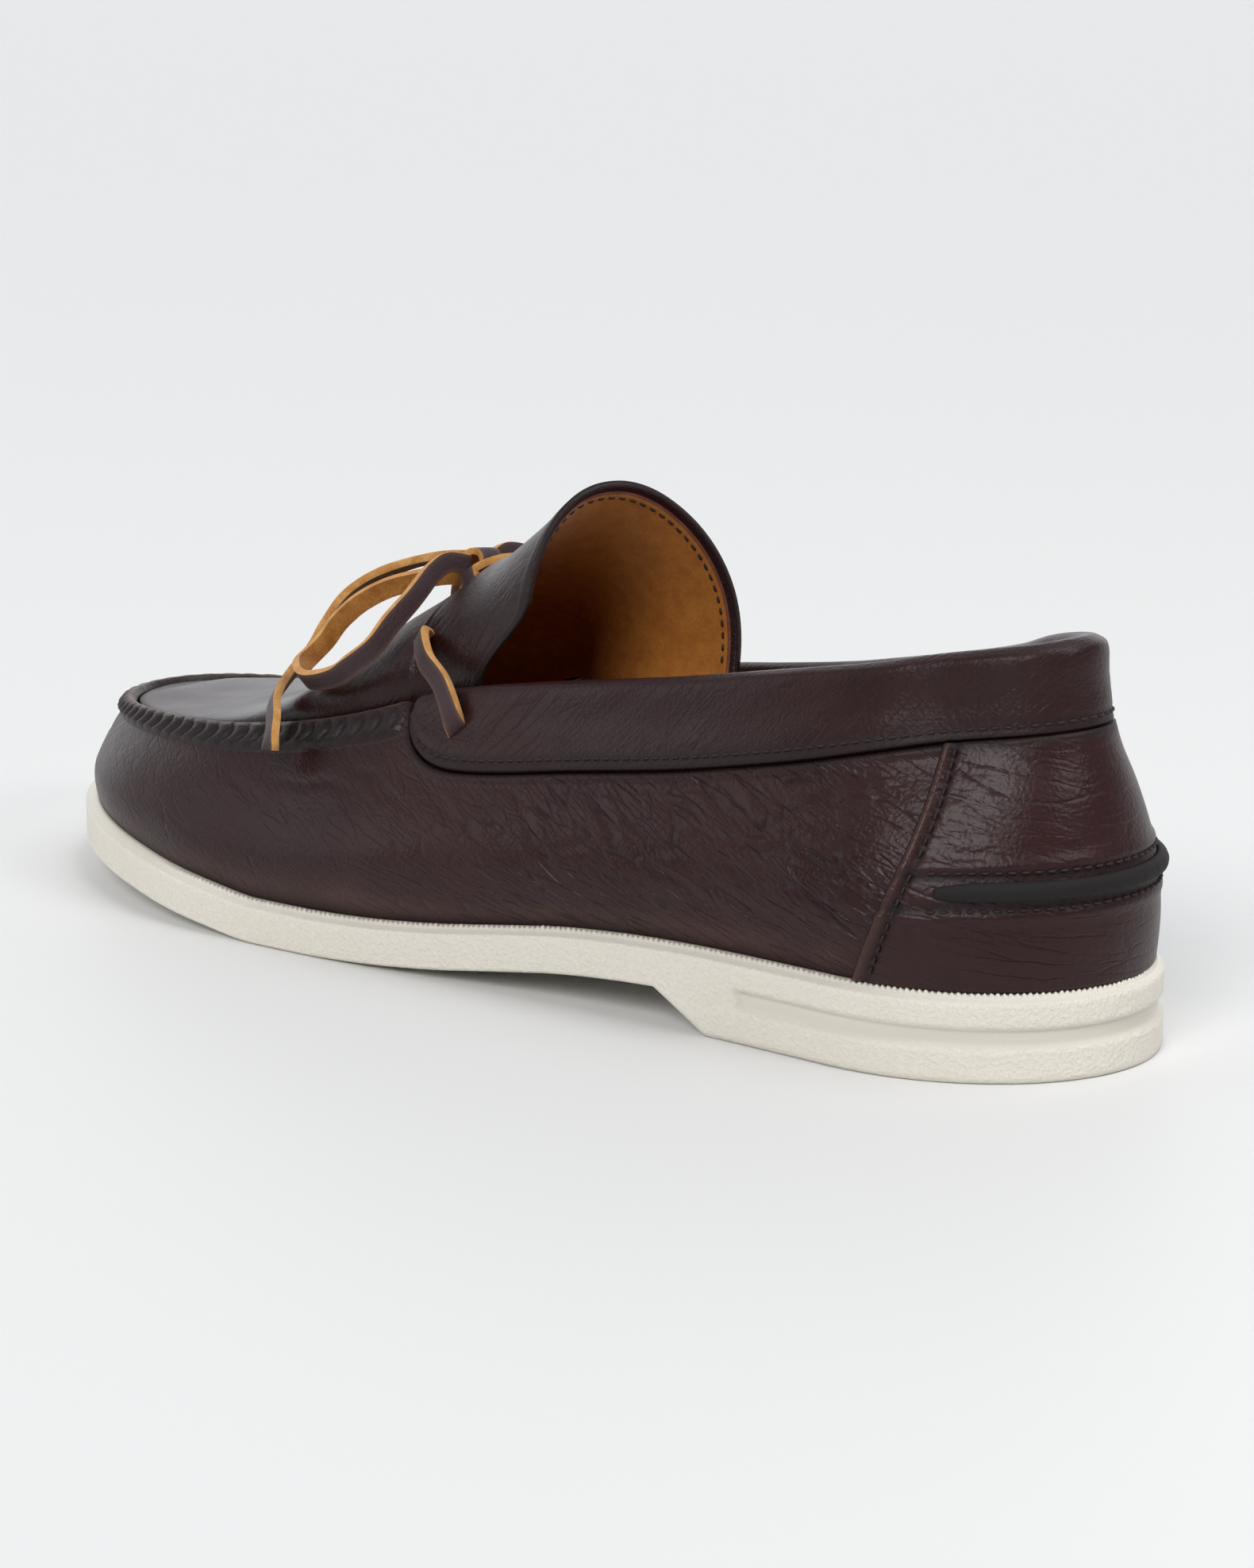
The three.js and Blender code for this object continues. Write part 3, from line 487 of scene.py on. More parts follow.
def make_mesh(name, points, faces, materials, face_slots=None, attributes=None):
    """Object of quads or triangles; points are millimetres in the shoe's own frame."""
    mesh = bpy.data.meshes.new(name)
    points = to_frame(points).reshape(-1, 3)
    faces = np.asarray(faces)
    mesh.vertices.add(len(points))
    mesh.vertices.foreach_set("co", points.ravel())
    size = faces.shape[1]
    mesh.loops.add(faces.size)
    mesh.loops.foreach_set("vertex_index", faces.ravel())
    mesh.polygons.add(len(faces))
    mesh.polygons.foreach_set("loop_start", np.arange(0, faces.size, size))
    mesh.polygons.foreach_set("loop_total", np.full(len(faces), size))
    mesh.update(calc_edges=True)
    for material in materials:
        mesh.materials.append(material)
    if face_slots is not None:
        mesh.polygons.foreach_set("material_index", np.asarray(face_slots, int))
    mesh.polygons.foreach_set("use_smooth", np.ones(len(faces), bool))
    for key, values in (attributes or {}).items():
        layer = mesh.attributes.new(key, "FLOAT", "POINT")
        layer.data.foreach_set("value", np.asarray(values, float).ravel())
    mesh.validate()
    mesh.update()
    piece = bpy.data.objects.new(name, mesh)
    bpy.context.scene.collection.objects.link(piece)
    return piece


def grid_faces(rows, columns, wrap_rows=False, wrap_columns=False):
    """Quads of a grid of points, row by row."""
    r = np.arange(rows if wrap_rows else rows - 1)
    c = np.arange(columns if wrap_columns else columns - 1)
    a = r[:, None] * columns + c[None, :]
    b = r[:, None] * columns + (c[None, :] + 1) % columns
    d = ((r[:, None] + 1) % rows) * columns + c[None, :]
    e = ((r[:, None] + 1) % rows) * columns + (c[None, :] + 1) % columns
    return np.stack([a, b, e, d], axis=-1).reshape(-1, 4)


def outward_faces(points, faces):
    """The faces turned so that the closed body's volume is positive."""
    flat = np.asarray(points).reshape(-1, 3)
    a, b, c, d = (flat[faces[:, k]] for k in range(4))
    volume = np.einsum("ij,ij->i", a, np.cross(b, c) + np.cross(c, d)).sum()
    return faces if volume > 0 else faces[:, ::-1]


def closed_tube(rings, end_quads=None):
    """Faces of a tube of rings with both ends closed; end_quads are those of the first ring."""
    count, size = rings.shape[:2]
    if end_quads is None:
        near = np.arange(size // 2 - 1)
        end_quads = np.stack([near, size - 1 - near, size - 2 - near, near + 1], axis=-1)
    around = grid_faces(count, size, wrap_columns=True)
    faces = np.vstack([around, end_quads, end_quads[:, ::-1] + (count - 1) * size])
    return outward_faces(rings, faces)


def paint(points, shade=0.0, crease=0.0, rub=0.0):
    """Numbers that the leathers read at each point."""
    shape = points.shape[:-1]
    values = {"shade": shade, "crease": crease, "rub": rub}
    return {name: np.broadcast_to(value, shape) for name, value in values.items()}


def fixed(piece, slot, *nodes):
    """Puts a piece on the shoe's body in place of the named solids."""
    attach(piece, "root")
    if nodes:
        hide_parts(*nodes)


def even_turns(line, pitch_of, count=4000):
    """Turns once round the shoe at the pitch wanted at each place."""
    turn = np.linspace(0, 2 * math.pi, count + 1)
    points = line(turn)
    length = np.linalg.norm(np.diff(points, axis=0), axis=1)
    middle = (turn[1:] + turn[:-1]) / 2
    steps = np.concatenate([[0], np.cumsum(length / pitch_of(along_of(middle)))])
    total = int(math.ceil(steps[-1]))
    return np.interp(np.linspace(0, steps[-1], total, endpoint=False), steps, turn)


def run_length(points):
    return np.concatenate([[0], np.cumsum(np.linalg.norm(np.diff(points, axis=0), axis=1))])


# Camera at the photograph's angle: it looks past the heel at the outer side of the shoe

CAMERA_TURN = math.radians(44.0)
CAMERA_RISE = math.radians(12.8)
CAMERA_DISTANCE = 1.0
CAMERA_LENS = 105.6
CAMERA_TARGET = (-14.1, 0.0, 36.3)

camera_data = bpy.data.cameras.new("camera")
camera_data.lens = CAMERA_LENS
camera_data.sensor_width = 36.0
camera = bpy.data.objects.new("camera", camera_data)
bpy.context.scene.collection.objects.link(camera)
camera_back = Vector((
    -math.sin(CAMERA_TURN) * math.cos(CAMERA_RISE),
    math.cos(CAMERA_TURN) * math.cos(CAMERA_RISE),
    math.sin(CAMERA_RISE),
))
camera.location = Vector(to_frame(CAMERA_TARGET)) + camera_back * CAMERA_DISTANCE
camera.rotation_euler = camera_back.to_track_quat("Z", "Y").to_euler()
bpy.context.scene.camera = camera


# Node helpers

def add_node(tree, kind, sockets=None, **settings):
    """Node with its settings; sockets maps an input's name or number to a value or an output."""
    node = tree.nodes.new(kind)
    for key, value in settings.items():
        setattr(node, key, value)
    for key, value in (sockets or {}).items():
        if isinstance(value, bpy.types.NodeSocket):
            tree.links.new(value, node.inputs[key])
        else:
            node.inputs[key].default_value = value
    return node


def math_node(tree, operation, first, second):
    return add_node(tree, "ShaderNodeMath", {0: first, 1: second}, operation=operation).outputs[0]


def vector_math(tree, operation, sockets):
    return add_node(tree, "ShaderNodeVectorMath", sockets, operation=operation).outputs[0]


def map_range(tree, value, low, high, to_low=0.0, to_high=1.0):
    sockets = {"Value": value, "From Min": low, "From Max": high, "To Min": to_low, "To Max": to_high}
    return add_node(tree, "ShaderNodeMapRange", sockets).outputs["Result"]


def mix_color(tree, share, first, second):
    node = add_node(tree, "ShaderNodeMix", data_type="RGBA")
    for socket, value in ((node.inputs[0], share), (node.inputs[6], first), (node.inputs[7], second)):
        if isinstance(value, bpy.types.NodeSocket):
            tree.links.new(value, socket)
        else:
            socket.default_value = value
    return node.outputs[2]


def new_group(name, inputs, outputs):
    """Empty shader node group with float and vector sockets; gives tree, inputs and output node."""
    tree = bpy.data.node_groups.new(name, "ShaderNodeTree")
    for label, kind, value in inputs:
        socket = tree.interface.new_socket(label, in_out="INPUT", socket_type=kind)
        if value is not None:
            socket.default_value = value
    for label, kind in outputs:
        tree.interface.new_socket(label, in_out="OUTPUT", socket_type=kind)
    return tree, tree.nodes.new("NodeGroupInput").outputs, tree.nodes.new("NodeGroupOutput")


FLOAT = "NodeSocketFloat"
VECTOR = "NodeSocketVector"


def grain_group():
    """Full grain: pebbles with fine pores between them, and a slow change of tone."""
    tree, given, result = new_group(
        "full_grain",
        [("Vector", VECTOR, None), ("Pebbles Per Metre", FLOAT, 900.0), ("Softness", FLOAT, 0.5)],
        [("Height", FLOAT), ("Tone", FLOAT)],
    )
    bend = add_node(tree, "ShaderNodeTexNoise", {"Vector": given["Vector"], "Scale": 260.0, "Detail": 2.0})
    moved = vector_math(tree, "SCALE", {0: bend.outputs["Color"], "Scale": 0.0022})
    place = vector_math(tree, "ADD", {0: given["Vector"], 1: moved})
    pebbles = add_node(
        tree,
        "ShaderNodeTexVoronoi",
        {"Vector": place, "Scale": given["Pebbles Per Metre"], "Smoothness": given["Softness"]},
        feature="SMOOTH_F1",
    )
    pores = add_node(tree, "ShaderNodeTexNoise", {"Vector": given["Vector"], "Scale": 2600.0, "Detail": 3.0})
    low = math_node(tree, "MULTIPLY", pebbles.outputs["Distance"], -0.8)
    height = math_node(tree, "ADD", low, math_node(tree, "MULTIPLY", pores.outputs["Fac"], 0.5))
    tone = add_node(tree, "ShaderNodeTexNoise", {"Vector": given["Vector"], "Scale": 38.0, "Detail": 4.0})
    tree.links.new(height, result.inputs["Height"])
    tree.links.new(tone.outputs["Fac"], result.inputs["Tone"])
    return tree


def crease_group():
    """Fine wrinkles: edges of long cells that lie along a slanted direction of the leather."""
    tree, given, result = new_group(
        "fine_creases",
        [("Vector", VECTOR, None), ("Slant", VECTOR, None), ("Cells Per Metre", FLOAT, 420.0)],
        [("Height", FLOAT), ("Lines", FLOAT)],
    )
    turned = add_node(
        tree,
        "ShaderNodeVectorRotate",
        {"Vector": given["Vector"], "Rotation": given["Slant"]},
        rotation_type="EULER_XYZ",
    )
    waves = add_node(tree, "ShaderNodeTexNoise", {"Vector": given["Vector"], "Scale": 130.0, "Detail": 3.0})
    sway = vector_math(tree, "SCALE", {0: waves.outputs["Color"], "Scale": 0.0018})
    place = vector_math(tree, "ADD", {0: turned.outputs[0], 1: sway})
    long_cells = vector_math(tree, "MULTIPLY", {0: place, 1: (0.14, 0.14, 1.0)})
    lines = []
    for share, width in ((1.0, 0.14), (0.45, 0.07)):
        scale = math_node(tree, "MULTIPLY", given["Cells Per Metre"], share)
        cells = add_node(
            tree,
            "ShaderNodeTexVoronoi",
            {"Vector": long_cells, "Scale": scale},
            feature="DISTANCE_TO_EDGE",
        )
        lines.append(map_range(tree, cells.outputs["Distance"], 0.0, width, 1.0, 0.0))
    broken = add_node(tree, "ShaderNodeTexNoise", {"Vector": given["Vector"], "Scale": 110.0, "Detail": 2.0})
    fine_part = map_range(tree, broken.outputs["Fac"], 0.40, 0.62)
    main_part = map_range(tree, broken.outputs["Fac"], 0.60, 0.44)
    fine = math_node(tree, "MULTIPLY", math_node(tree, "MULTIPLY", lines[0], fine_part), 0.55)
    cut = math_node(tree, "MAXIMUM", fine, math_node(tree, "MULTIPLY", lines[1], main_part))
    tree.links.new(math_node(tree, "MULTIPLY", cut, -1.0), result.inputs["Height"])
    tree.links.new(cut, result.inputs["Lines"])
    return tree


def nap_group():
    """Short fibres of a flesh side or a cut edge, with darker and lighter spots."""
    tree, given, result = new_group(
        "short_nap",
        [("Vector", VECTOR, None), ("Fibres Per Metre", FLOAT, 2400.0), ("Spots Per Metre", FLOAT, 300.0)],
        [("Height", FLOAT), ("Tone", FLOAT), ("Spots", FLOAT)],
    )
    fibres = add_node(
        tree,
        "ShaderNodeTexNoise",
        {"Vector": given["Vector"], "Scale": given["Fibres Per Metre"], "Detail": 4.0, "Roughness": 0.7},
    )
    clumps = add_node(
        tree,
        "ShaderNodeTexNoise",
        {"Vector": given["Vector"], "Scale": given["Spots Per Metre"], "Detail": 4.0},
    )
    slow = add_node(tree, "ShaderNodeTexNoise", {"Vector": given["Vector"], "Scale": 45.0, "Detail": 3.0})
    height = math_node(tree, "ADD", fibres.outputs["Fac"], clumps.outputs["Fac"])
    tree.links.new(height, result.inputs["Height"])
    tree.links.new(slow.outputs["Fac"], result.inputs["Tone"])
    both = math_node(tree, "MULTIPLY", fibres.outputs["Fac"], clumps.outputs["Fac"])
    spots = map_range(tree, both, 0.16, 0.36)
    tree.links.new(spots, result.inputs["Spots"])
    return tree


def stipple_group():
    """Stipple of a moulded rubber side."""
    tree, given, result = new_group(
        "moulded_stipple",
        [("Vector", VECTOR, None), ("Dots Per Metre", FLOAT, 1100.0)],
        [("Height", FLOAT), ("Tone", FLOAT)],
    )
    dots = add_node(
        tree,
        "ShaderNodeTexNoise",
        {"Vector": given["Vector"], "Scale": given["Dots Per Metre"], "Detail": 2.0, "Roughness": 0.6},
    )
    slow = add_node(tree, "ShaderNodeTexNoise", {"Vector": given["Vector"], "Scale": 30.0, "Detail": 3.0})
    tree.links.new(map_range(tree, dots.outputs["Fac"], 0.35, 0.65), result.inputs["Height"])
    tree.links.new(slow.outputs["Fac"], result.inputs["Tone"])
    return tree


full_grain = grain_group()
fine_creases = crease_group()
short_nap = nap_group()
moulded_stipple = stipple_group()


def new_material(name, **shader):
    """Material with a Principled BSDF whose plain sockets are set; gives material, tree, shader."""
    material = bpy.data.materials.new(name)
    material.use_nodes = True
    tree = material.node_tree
    bsdf = tree.nodes["Principled BSDF"]
    for key, value in shader.items():
        bsdf.inputs[key.replace("_", " ")].default_value = value
    return material, tree, bsdf


def place_of(tree):
    return tree.nodes.new("ShaderNodeTexCoord").outputs["Object"]


def use_group(tree, group, sockets):
    node = tree.nodes.new("ShaderNodeGroup")
    node.node_tree = group
    for key, value in sockets.items():
        if isinstance(value, bpy.types.NodeSocket):
            tree.links.new(value, node.inputs[key])
        else:
            node.inputs[key].default_value = value
    return node.outputs


def painted(tree, name):
    return add_node(tree, "ShaderNodeAttribute", attribute_name=name).outputs["Fac"]


def bump(tree, height, distance, strength):
    sockets = {"Height": height, "Distance": distance, "Strength": strength}
    return add_node(tree, "ShaderNodeBump", sockets).outputs["Normal"]


# Leathers, rubber and thread

DEEP_SHADE = (0.004, 0.003, 0.0035, 1.0)
RUBBED = (0.16, 0.085, 0.055, 1.0)


def darker(color, share):
    return tuple(share * value for value in color[:3]) + (1.0,)


def dark_leather(name, color, light, roughness, grain=900.0, slant=0.0, lines=420.0, relief=1.0):
    """Grain side; crease, shade and rub are painted on the mesh as numbers from 0 to 1."""
    material, tree, bsdf = new_material(name, Specular_IOR_Level=0.30)
    place = place_of(tree)
    grain_out = use_group(tree, full_grain, {"Vector": place, "Pebbles Per Metre": grain})
    turned = (0.0, math.radians(slant), 0.0)
    crease_out = use_group(tree, fine_creases, {"Vector": place, "Slant": turned, "Cells Per Metre": lines})
    crease, shade, rub = painted(tree, "crease"), painted(tree, "shade"), painted(tree, "rub")
    tone = map_range(tree, grain_out["Tone"], 0.3, 0.7)
    body = mix_color(tree, tone, color, light)
    # Painted shade: the fine crease lines are darkened in the base colour, as shade in their troughs.
    crease_line_shade = math_node(tree, "MULTIPLY", crease_out["Lines"], math_node(tree, "MULTIPLY", crease, 0.60))
    body = mix_color(tree, crease_line_shade, body, darker(color, 0.35))
    body = mix_color(tree, math_node(tree, "MULTIPLY", shade, 0.85), body, DEEP_SHADE)
    body = mix_color(tree, rub, body, RUBBED)
    tree.links.new(body, bsdf.inputs["Base Color"])
    tones = map_range(tree, grain_out["Tone"], 0.3, 0.7, roughness - 0.05, roughness + 0.06)
    matt = math_node(tree, "ADD", tones, math_node(tree, "MULTIPLY", shade, 0.25))
    tree.links.new(matt, bsdf.inputs["Roughness"])
    crease_share = math_node(tree, "MULTIPLY", crease, 1.35 * relief)
    creased = math_node(tree, "MULTIPLY", crease_out["Height"], crease_share)
    height = math_node(tree, "ADD", math_node(tree, "MULTIPLY", grain_out["Height"], 0.55), creased)
    tree.links.new(bump(tree, height, 0.00022, 0.8), bsdf.inputs["Normal"])
    return material


def napped_leather(name, color, deep, fibres=2400.0, relief=0.00018, roughness=0.85):
    """Flesh side, suede or cut edge; shade is painted on the mesh."""
    material, tree, bsdf = new_material(
        name, Roughness=roughness, Specular_IOR_Level=0.2, Sheen_Weight=0.15, Sheen_Roughness=0.5
    )
    nap = use_group(tree, short_nap, {"Vector": place_of(tree), "Fibres Per Metre": fibres})
    spots = math_node(tree, "MULTIPLY", nap["Spots"], 0.75)
    body = mix_color(tree, spots, deep, color)
    slow = map_range(tree, nap["Tone"], 0.35, 0.7, 0.0, 0.35)
    body = mix_color(tree, slow, body, deep)
    body = mix_color(tree, painted(tree, "shade"), body, darker(deep, 0.30))
    tree.links.new(body, bsdf.inputs["Base Color"])
    tree.links.new(bump(tree, nap["Height"], relief, 0.7), bsdf.inputs["Normal"])
    return material


def cream_rubber():
    """Moulded rubber: stippled sides, smooth groove and ledge, fine cuts under the sole."""
    material, tree, bsdf = new_material("cream_rubber", Specular_IOR_Level=0.35)
    place = place_of(tree)
    stipple = use_group(tree, moulded_stipple, {"Vector": place})
    rough, tread, shade = painted(tree, "stipple"), painted(tree, "tread"), painted(tree, "shade")
    body = mix_color(tree, stipple["Tone"], (0.80, 0.755, 0.665, 1.0), (0.86, 0.82, 0.735, 1.0))
    # Painted shade: the stipple's pits are a little darker in the base colour.
    stipple_pit_shade = math_node(tree, "MULTIPLY", math_node(tree, "SUBTRACT", 1.0, stipple["Height"]), rough)
    body = mix_color(tree, math_node(tree, "MULTIPLY", stipple_pit_shade, 0.10), body, (0.50, 0.46, 0.38, 1.0))
    body = mix_color(tree, shade, body, (0.30, 0.26, 0.21, 1.0))
    tree.links.new(body, bsdf.inputs["Base Color"])
    tree.links.new(map_range(tree, rough, 0.0, 1.0, 0.42, 0.62), bsdf.inputs["Roughness"])
    waves = add_node(
        tree,
        "ShaderNodeTexWave",
        {"Vector": place, "Scale": 42.0, "Distortion": 1.6, "Detail": 0.0, "Detail Scale": 1.0},
        wave_profile="SIN",
    )
    cuts = math_node(tree, "MULTIPLY", map_range(tree, waves.outputs["Fac"], 0.0, 0.25), tread)
    fine = math_node(tree, "MULTIPLY", stipple["Height"], math_node(tree, "MULTIPLY", rough, 0.55))
    height = math_node(tree, "ADD", fine, math_node(tree, "MULTIPLY", cuts, 2.0))
    tree.links.new(bump(tree, height, 0.0004, 0.8), bsdf.inputs["Normal"])
    return material


# Slants are in degrees: how far the fine wrinkles lean off the floor's direction
BURGUNDY = (0.021, 0.0044, 0.0050, 1.0)
BURGUNDY_LIGHT = (0.029, 0.0068, 0.0074, 1.0)
vamp_leather = dark_leather("vamp_leather", BURGUNDY, BURGUNDY_LIGHT, 0.37, 1000.0, 23, 820.0)
collar_leather = dark_leather(
    "collar_leather",
    (0.018, 0.0044, 0.0050, 1.0),
    (0.025, 0.0066, 0.0072, 1.0),
    0.38, 1100.0, -50, 950.0, 0.45,
)
counter_leather = dark_leather("counter_leather", BURGUNDY, BURGUNDY_LIGHT, 0.35, 1000.0, 15, 560.0, 0.7)
tongue_leather = dark_leather(
    "tongue_leather",
    (0.016, 0.0044, 0.0050, 1.0),
    (0.023, 0.0066, 0.0072, 1.0),
    0.38, 1100.0, -58, 900.0, 0.35,
)
strip_leather = dark_leather(
    "strip_leather", (0.008, 0.006, 0.0065, 1.0), (0.013, 0.010, 0.0105, 1.0), 0.72, 1700.0
)
welt_leather = dark_leather(
    "welt_leather", (0.014, 0.0060, 0.0065, 1.0), (0.022, 0.0085, 0.0095, 1.0), 0.42, 1300.0
)
lace_grain = dark_leather("lace_grain", (0.040, 0.022, 0.025, 1.0), (0.055, 0.030, 0.034, 1.0), 0.50, 1600.0)
thread = dark_leather("dark_thread", (0.020, 0.010, 0.010, 1.0), (0.034, 0.018, 0.017, 1.0), 0.55, 3000.0)
tan_lining = napped_leather(
    "tan_lining", (0.56, 0.225, 0.036, 1.0), (0.40, 0.135, 0.018, 1.0), 1500.0, 0.00008, 0.72
)
cut_edge = napped_leather("cut_edge", (0.30, 0.105, 0.06, 1.0), (0.15, 0.045, 0.026, 1.0), 2600.0)
lace_flesh = napped_leather("lace_flesh", (0.66, 0.31, 0.075, 1.0), (0.36, 0.13, 0.022, 1.0), 2200.0, 0.0003)
lace_edge = napped_leather("lace_edge", (0.78, 0.46, 0.16, 1.0), (0.48, 0.20, 0.05, 1.0), 2600.0, 0.0002)
rubber = cream_rubber()


# Lace: strips with a dark grain side, tan flesh side and pale cut edges

# Corners of the strip's section as shares of its half width and half thickness, grain side first
STRIP_CORNERS = np.array([
    (-0.96, 0.90), (-0.50, 0.98), (0.00, 1.00), (0.50, 0.98), (0.96, 0.90),
    (1.00, 0.70), (1.00, 0.00), (0.99, -0.70),
    (0.96, -0.90), (0.50, -0.86), (0.00, -0.84), (-0.50, -0.86), (-0.96, -0.90),
    (-0.99, -0.70), (-1.00, 0.00), (-1.00, 0.70),
])
GRAIN_CORNERS = (0, 4)
FLESH_CORNERS = (8, 12)
STRIP_END_QUADS = np.array([
    (0, 12, 11, 1), (1, 11, 10, 2), (2, 10, 9, 3), (3, 9, 8, 4), (4, 8, 7, 5), (15, 13, 12, 0),
])
STRIP_WAVE = 0.10
STRIP_SWAY = 0.12
STRIP_EDGE_ANGLE = math.radians(32)
CURVE_STEPS = 24


def smooth_path(points, steps):
    """Evenly spaced points of a centripetal curve through the given ones."""
    p = np.asarray(points, float)
    p = np.vstack([2 * p[0] - p[1], p, 2 * p[-1] - p[-2]])
    dense = []
    for i in range(1, len(p) - 2):
        gaps = [np.sqrt(np.linalg.norm(p[i + k] - p[i + k - 1])) for k in range(3)]
        knots = np.cumsum([0] + gaps)
        t = np.linspace(knots[1], knots[2], CURVE_STEPS, endpoint=False)[:, None]
        a = [
            ((knots[k + 1] - t) * p[i + k - 1] + (t - knots[k]) * p[i + k]) / (knots[k + 1] - knots[k])
            for k in range(3)
        ]
        b = [
            ((knots[k + 2] - t) * a[k] + (t - knots[k]) * a[k + 1]) / (knots[k + 2] - knots[k])
            for k in range(2)
        ]
        dense.append(((knots[2] - t) * b[0] + (t - knots[1]) * b[1]) / (knots[2] - knots[1]))
    dense = np.vstack(dense + [p[-2:-1]])
    length = run_length(dense)
    even = np.linspace(0, length[-1], steps + 1)
    return np.stack([np.interp(even, length, dense[:, k]) for k in range(3)], axis=-1)


def strip_rings(path, wide_ways, grain_side, seed, width, thickness):
    """Sections along the strip's path; grain_side 1 puts the grain on the side of way x wide."""
    way = unit(np.gradient(path, axis=0))
    wide = np.asarray(wide_ways, float)
    wide = unit(wide - (wide * way).sum(-1, keepdims=True) * way)
    thick = np.cross(way, wide) * grain_side
    length = run_length(path)
    halves = width / 2 * (1 + STRIP_WAVE * 0.5 * wander(length / 9.0, seed))
    depth = thickness / 2 * (1 + STRIP_WAVE * wander(length / 6.0, seed + 1))
    sway = STRIP_SWAY * wander(length / 5.0, seed + 2)
    return (
        path[:, None, :]
        + wide[:, None, :] * (STRIP_CORNERS[None, :, 0] * halves[:, None] + sway[:, None])[..., None]
        + thick[:, None, :] * (STRIP_CORNERS[None, :, 1] * depth[:, None])[..., None]
    )


def strip_piece(name, path, wide_ways, grain_side, seed, width=LACE_WIDTH, thickness=LACE_THICKNESS):
    """Flat strip along a path with its three leathers."""
    rings = strip_rings(path, wide_ways, grain_side, seed, width, thickness)
    count, size = rings.shape[:2]
    faces = closed_tube(rings, STRIP_END_QUADS)
    corner = np.arange(size)
    is_grain = corner < GRAIN_CORNERS[1]
    is_flesh = (corner >= FLESH_CORNERS[0]) & (corner < FLESH_CORNERS[1])
    around = np.where(is_grain, 0, np.where(is_flesh, 1, 2))
    slots = np.concatenate([np.tile(around, count - 1), np.full(2 * len(STRIP_END_QUADS), 2)])
    shade = np.zeros((count, size))
    shade[:2] = shade[-2:] = 0.3
    rub = np.tile(np.where(np.isin(corner, GRAIN_CORNERS), 0.45, 0.0), (count, 1))
    leathers = (lace_grain, lace_flesh, lace_edge)
    piece = make_mesh(name, rings, faces, leathers, slots, paint(rings, shade, rub=rub))
    piece.data.set_sharp_from_angle(angle=STRIP_EDGE_ANGLE)
    return piece


def loose_path(rows, side):
    knot_side = float(tongue_point(KNOT_AT, 0.0)[1])
    return stack(
        OUTSOLE_LENGTH * (rows["along"] - 0.5),
        knot_side + side * HALF_BALL * rows["out"],
        TOE_BOX_HEIGHT + (TONGUE_HEIGHT - TOE_BOX_HEIGHT) * rows["up"],
    )


def loose_lace(name, rows, side, steps, wide_ways, grain_side, seed):
    """Free length of lace as a cord; wide_ways are the directions of its width at both ends."""
    path = smooth_path(loose_path(rows, side), steps)
    mirror = np.array([1.0, side, 1.0])
    share = np.linspace(0, 1, steps + 1)[:, None]
    start_wide, end_wide = wide_ways
    wide = (np.array(start_wide) * (1 - share) + np.array(end_wide) * share) * mirror
    piece = strip_piece(name, path, wide, grain_side, seed)
    fixed(piece, "lace", name)
    placed = to_frame(path)
    float(run_length(placed)[-1])


loose_lace("lace_loop_outer", LACE_LOOP, 1, 200, LOOP_WIDE, 1, 11)
loose_lace("lace_loop_inner", LACE_LOOP, -1, 200, LOOP_WIDE, -1, 12)
loose_lace("lace_front_end", LACE_FRONT_END, 1, 140, FRONT_END_WIDE, 1, 13)


# Lace over the tongue, its two straps and the knot's band

BAR_DIP = 2.6
BAR_DIP_SHARE = 0.10
STRAP_DROP = 0.06
STRAP_END_AT = 0.497
STRAP_END_UP = 0.87
STRAP_CREST_AT = 0.517
STRAP_STAND_OFF = 1.6
STRAP_ROOT_DEPTH = 0.5
STRAP_INSIDE = 3.2
STRAP_WIDE = ((-0.60, 0.14, 0.79), (-0.55, -0.35, 0.75))
KNOT_BAND_REACH = 3.5
KNOT_BAND_WIDTH = 5.4
KNOT_BAND_THICKNESS = 1.7
KNOT_BAND_WIDE = (0.12, 1.0, 0.1)


def turn_on(side, at):
    return turn_of(at) if side > 0 else 2 * math.pi - turn_of(at)


def lace_bar():
    """Short bar over the tongue's crown; both of its ends dip into their slits."""
    across = np.linspace(BAR_ACROSS, -BAR_ACROSS, 81)
    at = np.full_like(across, SLIT_AT)
    ahead, normal = tongue_ways(at, across)
    share = np.linspace(0, 1, 81)
    dip = BAR_DIP * (1 - ease(0.0, BAR_DIP_SHARE, share) + ease(1 - BAR_DIP_SHARE, 1.0, share))
    path = tongue_point(at, across) + normal * (CLEARANCE + LACE_THICKNESS / 2) - normal * dip[:, None]
    fixed(strip_piece("lace_bar", path, ahead, 1, 14), "lace", "lace_bar")


def strap(name, side, grain_side, seed):
    """From the slit beside the tongue over the collar band, where its end is tucked in."""
    slit = side * (SLIT_ACROSS + STRAP_DROP)
    _, normal = tongue_ways(SLIT_AT, slit)
    start = tongue_point(SLIT_AT, slit) + normal * (3 * CLEARANCE + LACE_THICKNESS / 2)
    on_band = COLLAR_PROUD + 2 * CLEARANCE + LACE_THICKNESS / 2
    crest = off_last(turn_on(side, STRAP_CREST_AT), 1.0, on_band) + np.array([0, 0, STRAP_STAND_OFF])
    end = off_last(turn_on(side, STRAP_END_AT), STRAP_END_UP, on_band)
    root = off_last(turn_on(side, STRAP_END_AT), STRAP_END_UP - 0.05, -STRAP_ROOT_DEPTH)
    middle = (start + crest) / 2 + np.array([0, side * STRAP_STAND_OFF, 0])
    inside = start - normal * STRAP_INSIDE + (start - middle) * 0.12
    path = smooth_path([inside, start, middle, crest, end, root], 80)
    share = np.linspace(0, 1, 81)[:, None]
    mirror = np.array([1.0, side, 1.0])
    wide = (np.array(STRAP_WIDE[0]) * (1 - share) + np.array(STRAP_WIDE[1]) * share) * mirror
    fixed(strip_piece(name, path, wide, grain_side, seed), "lace", name)


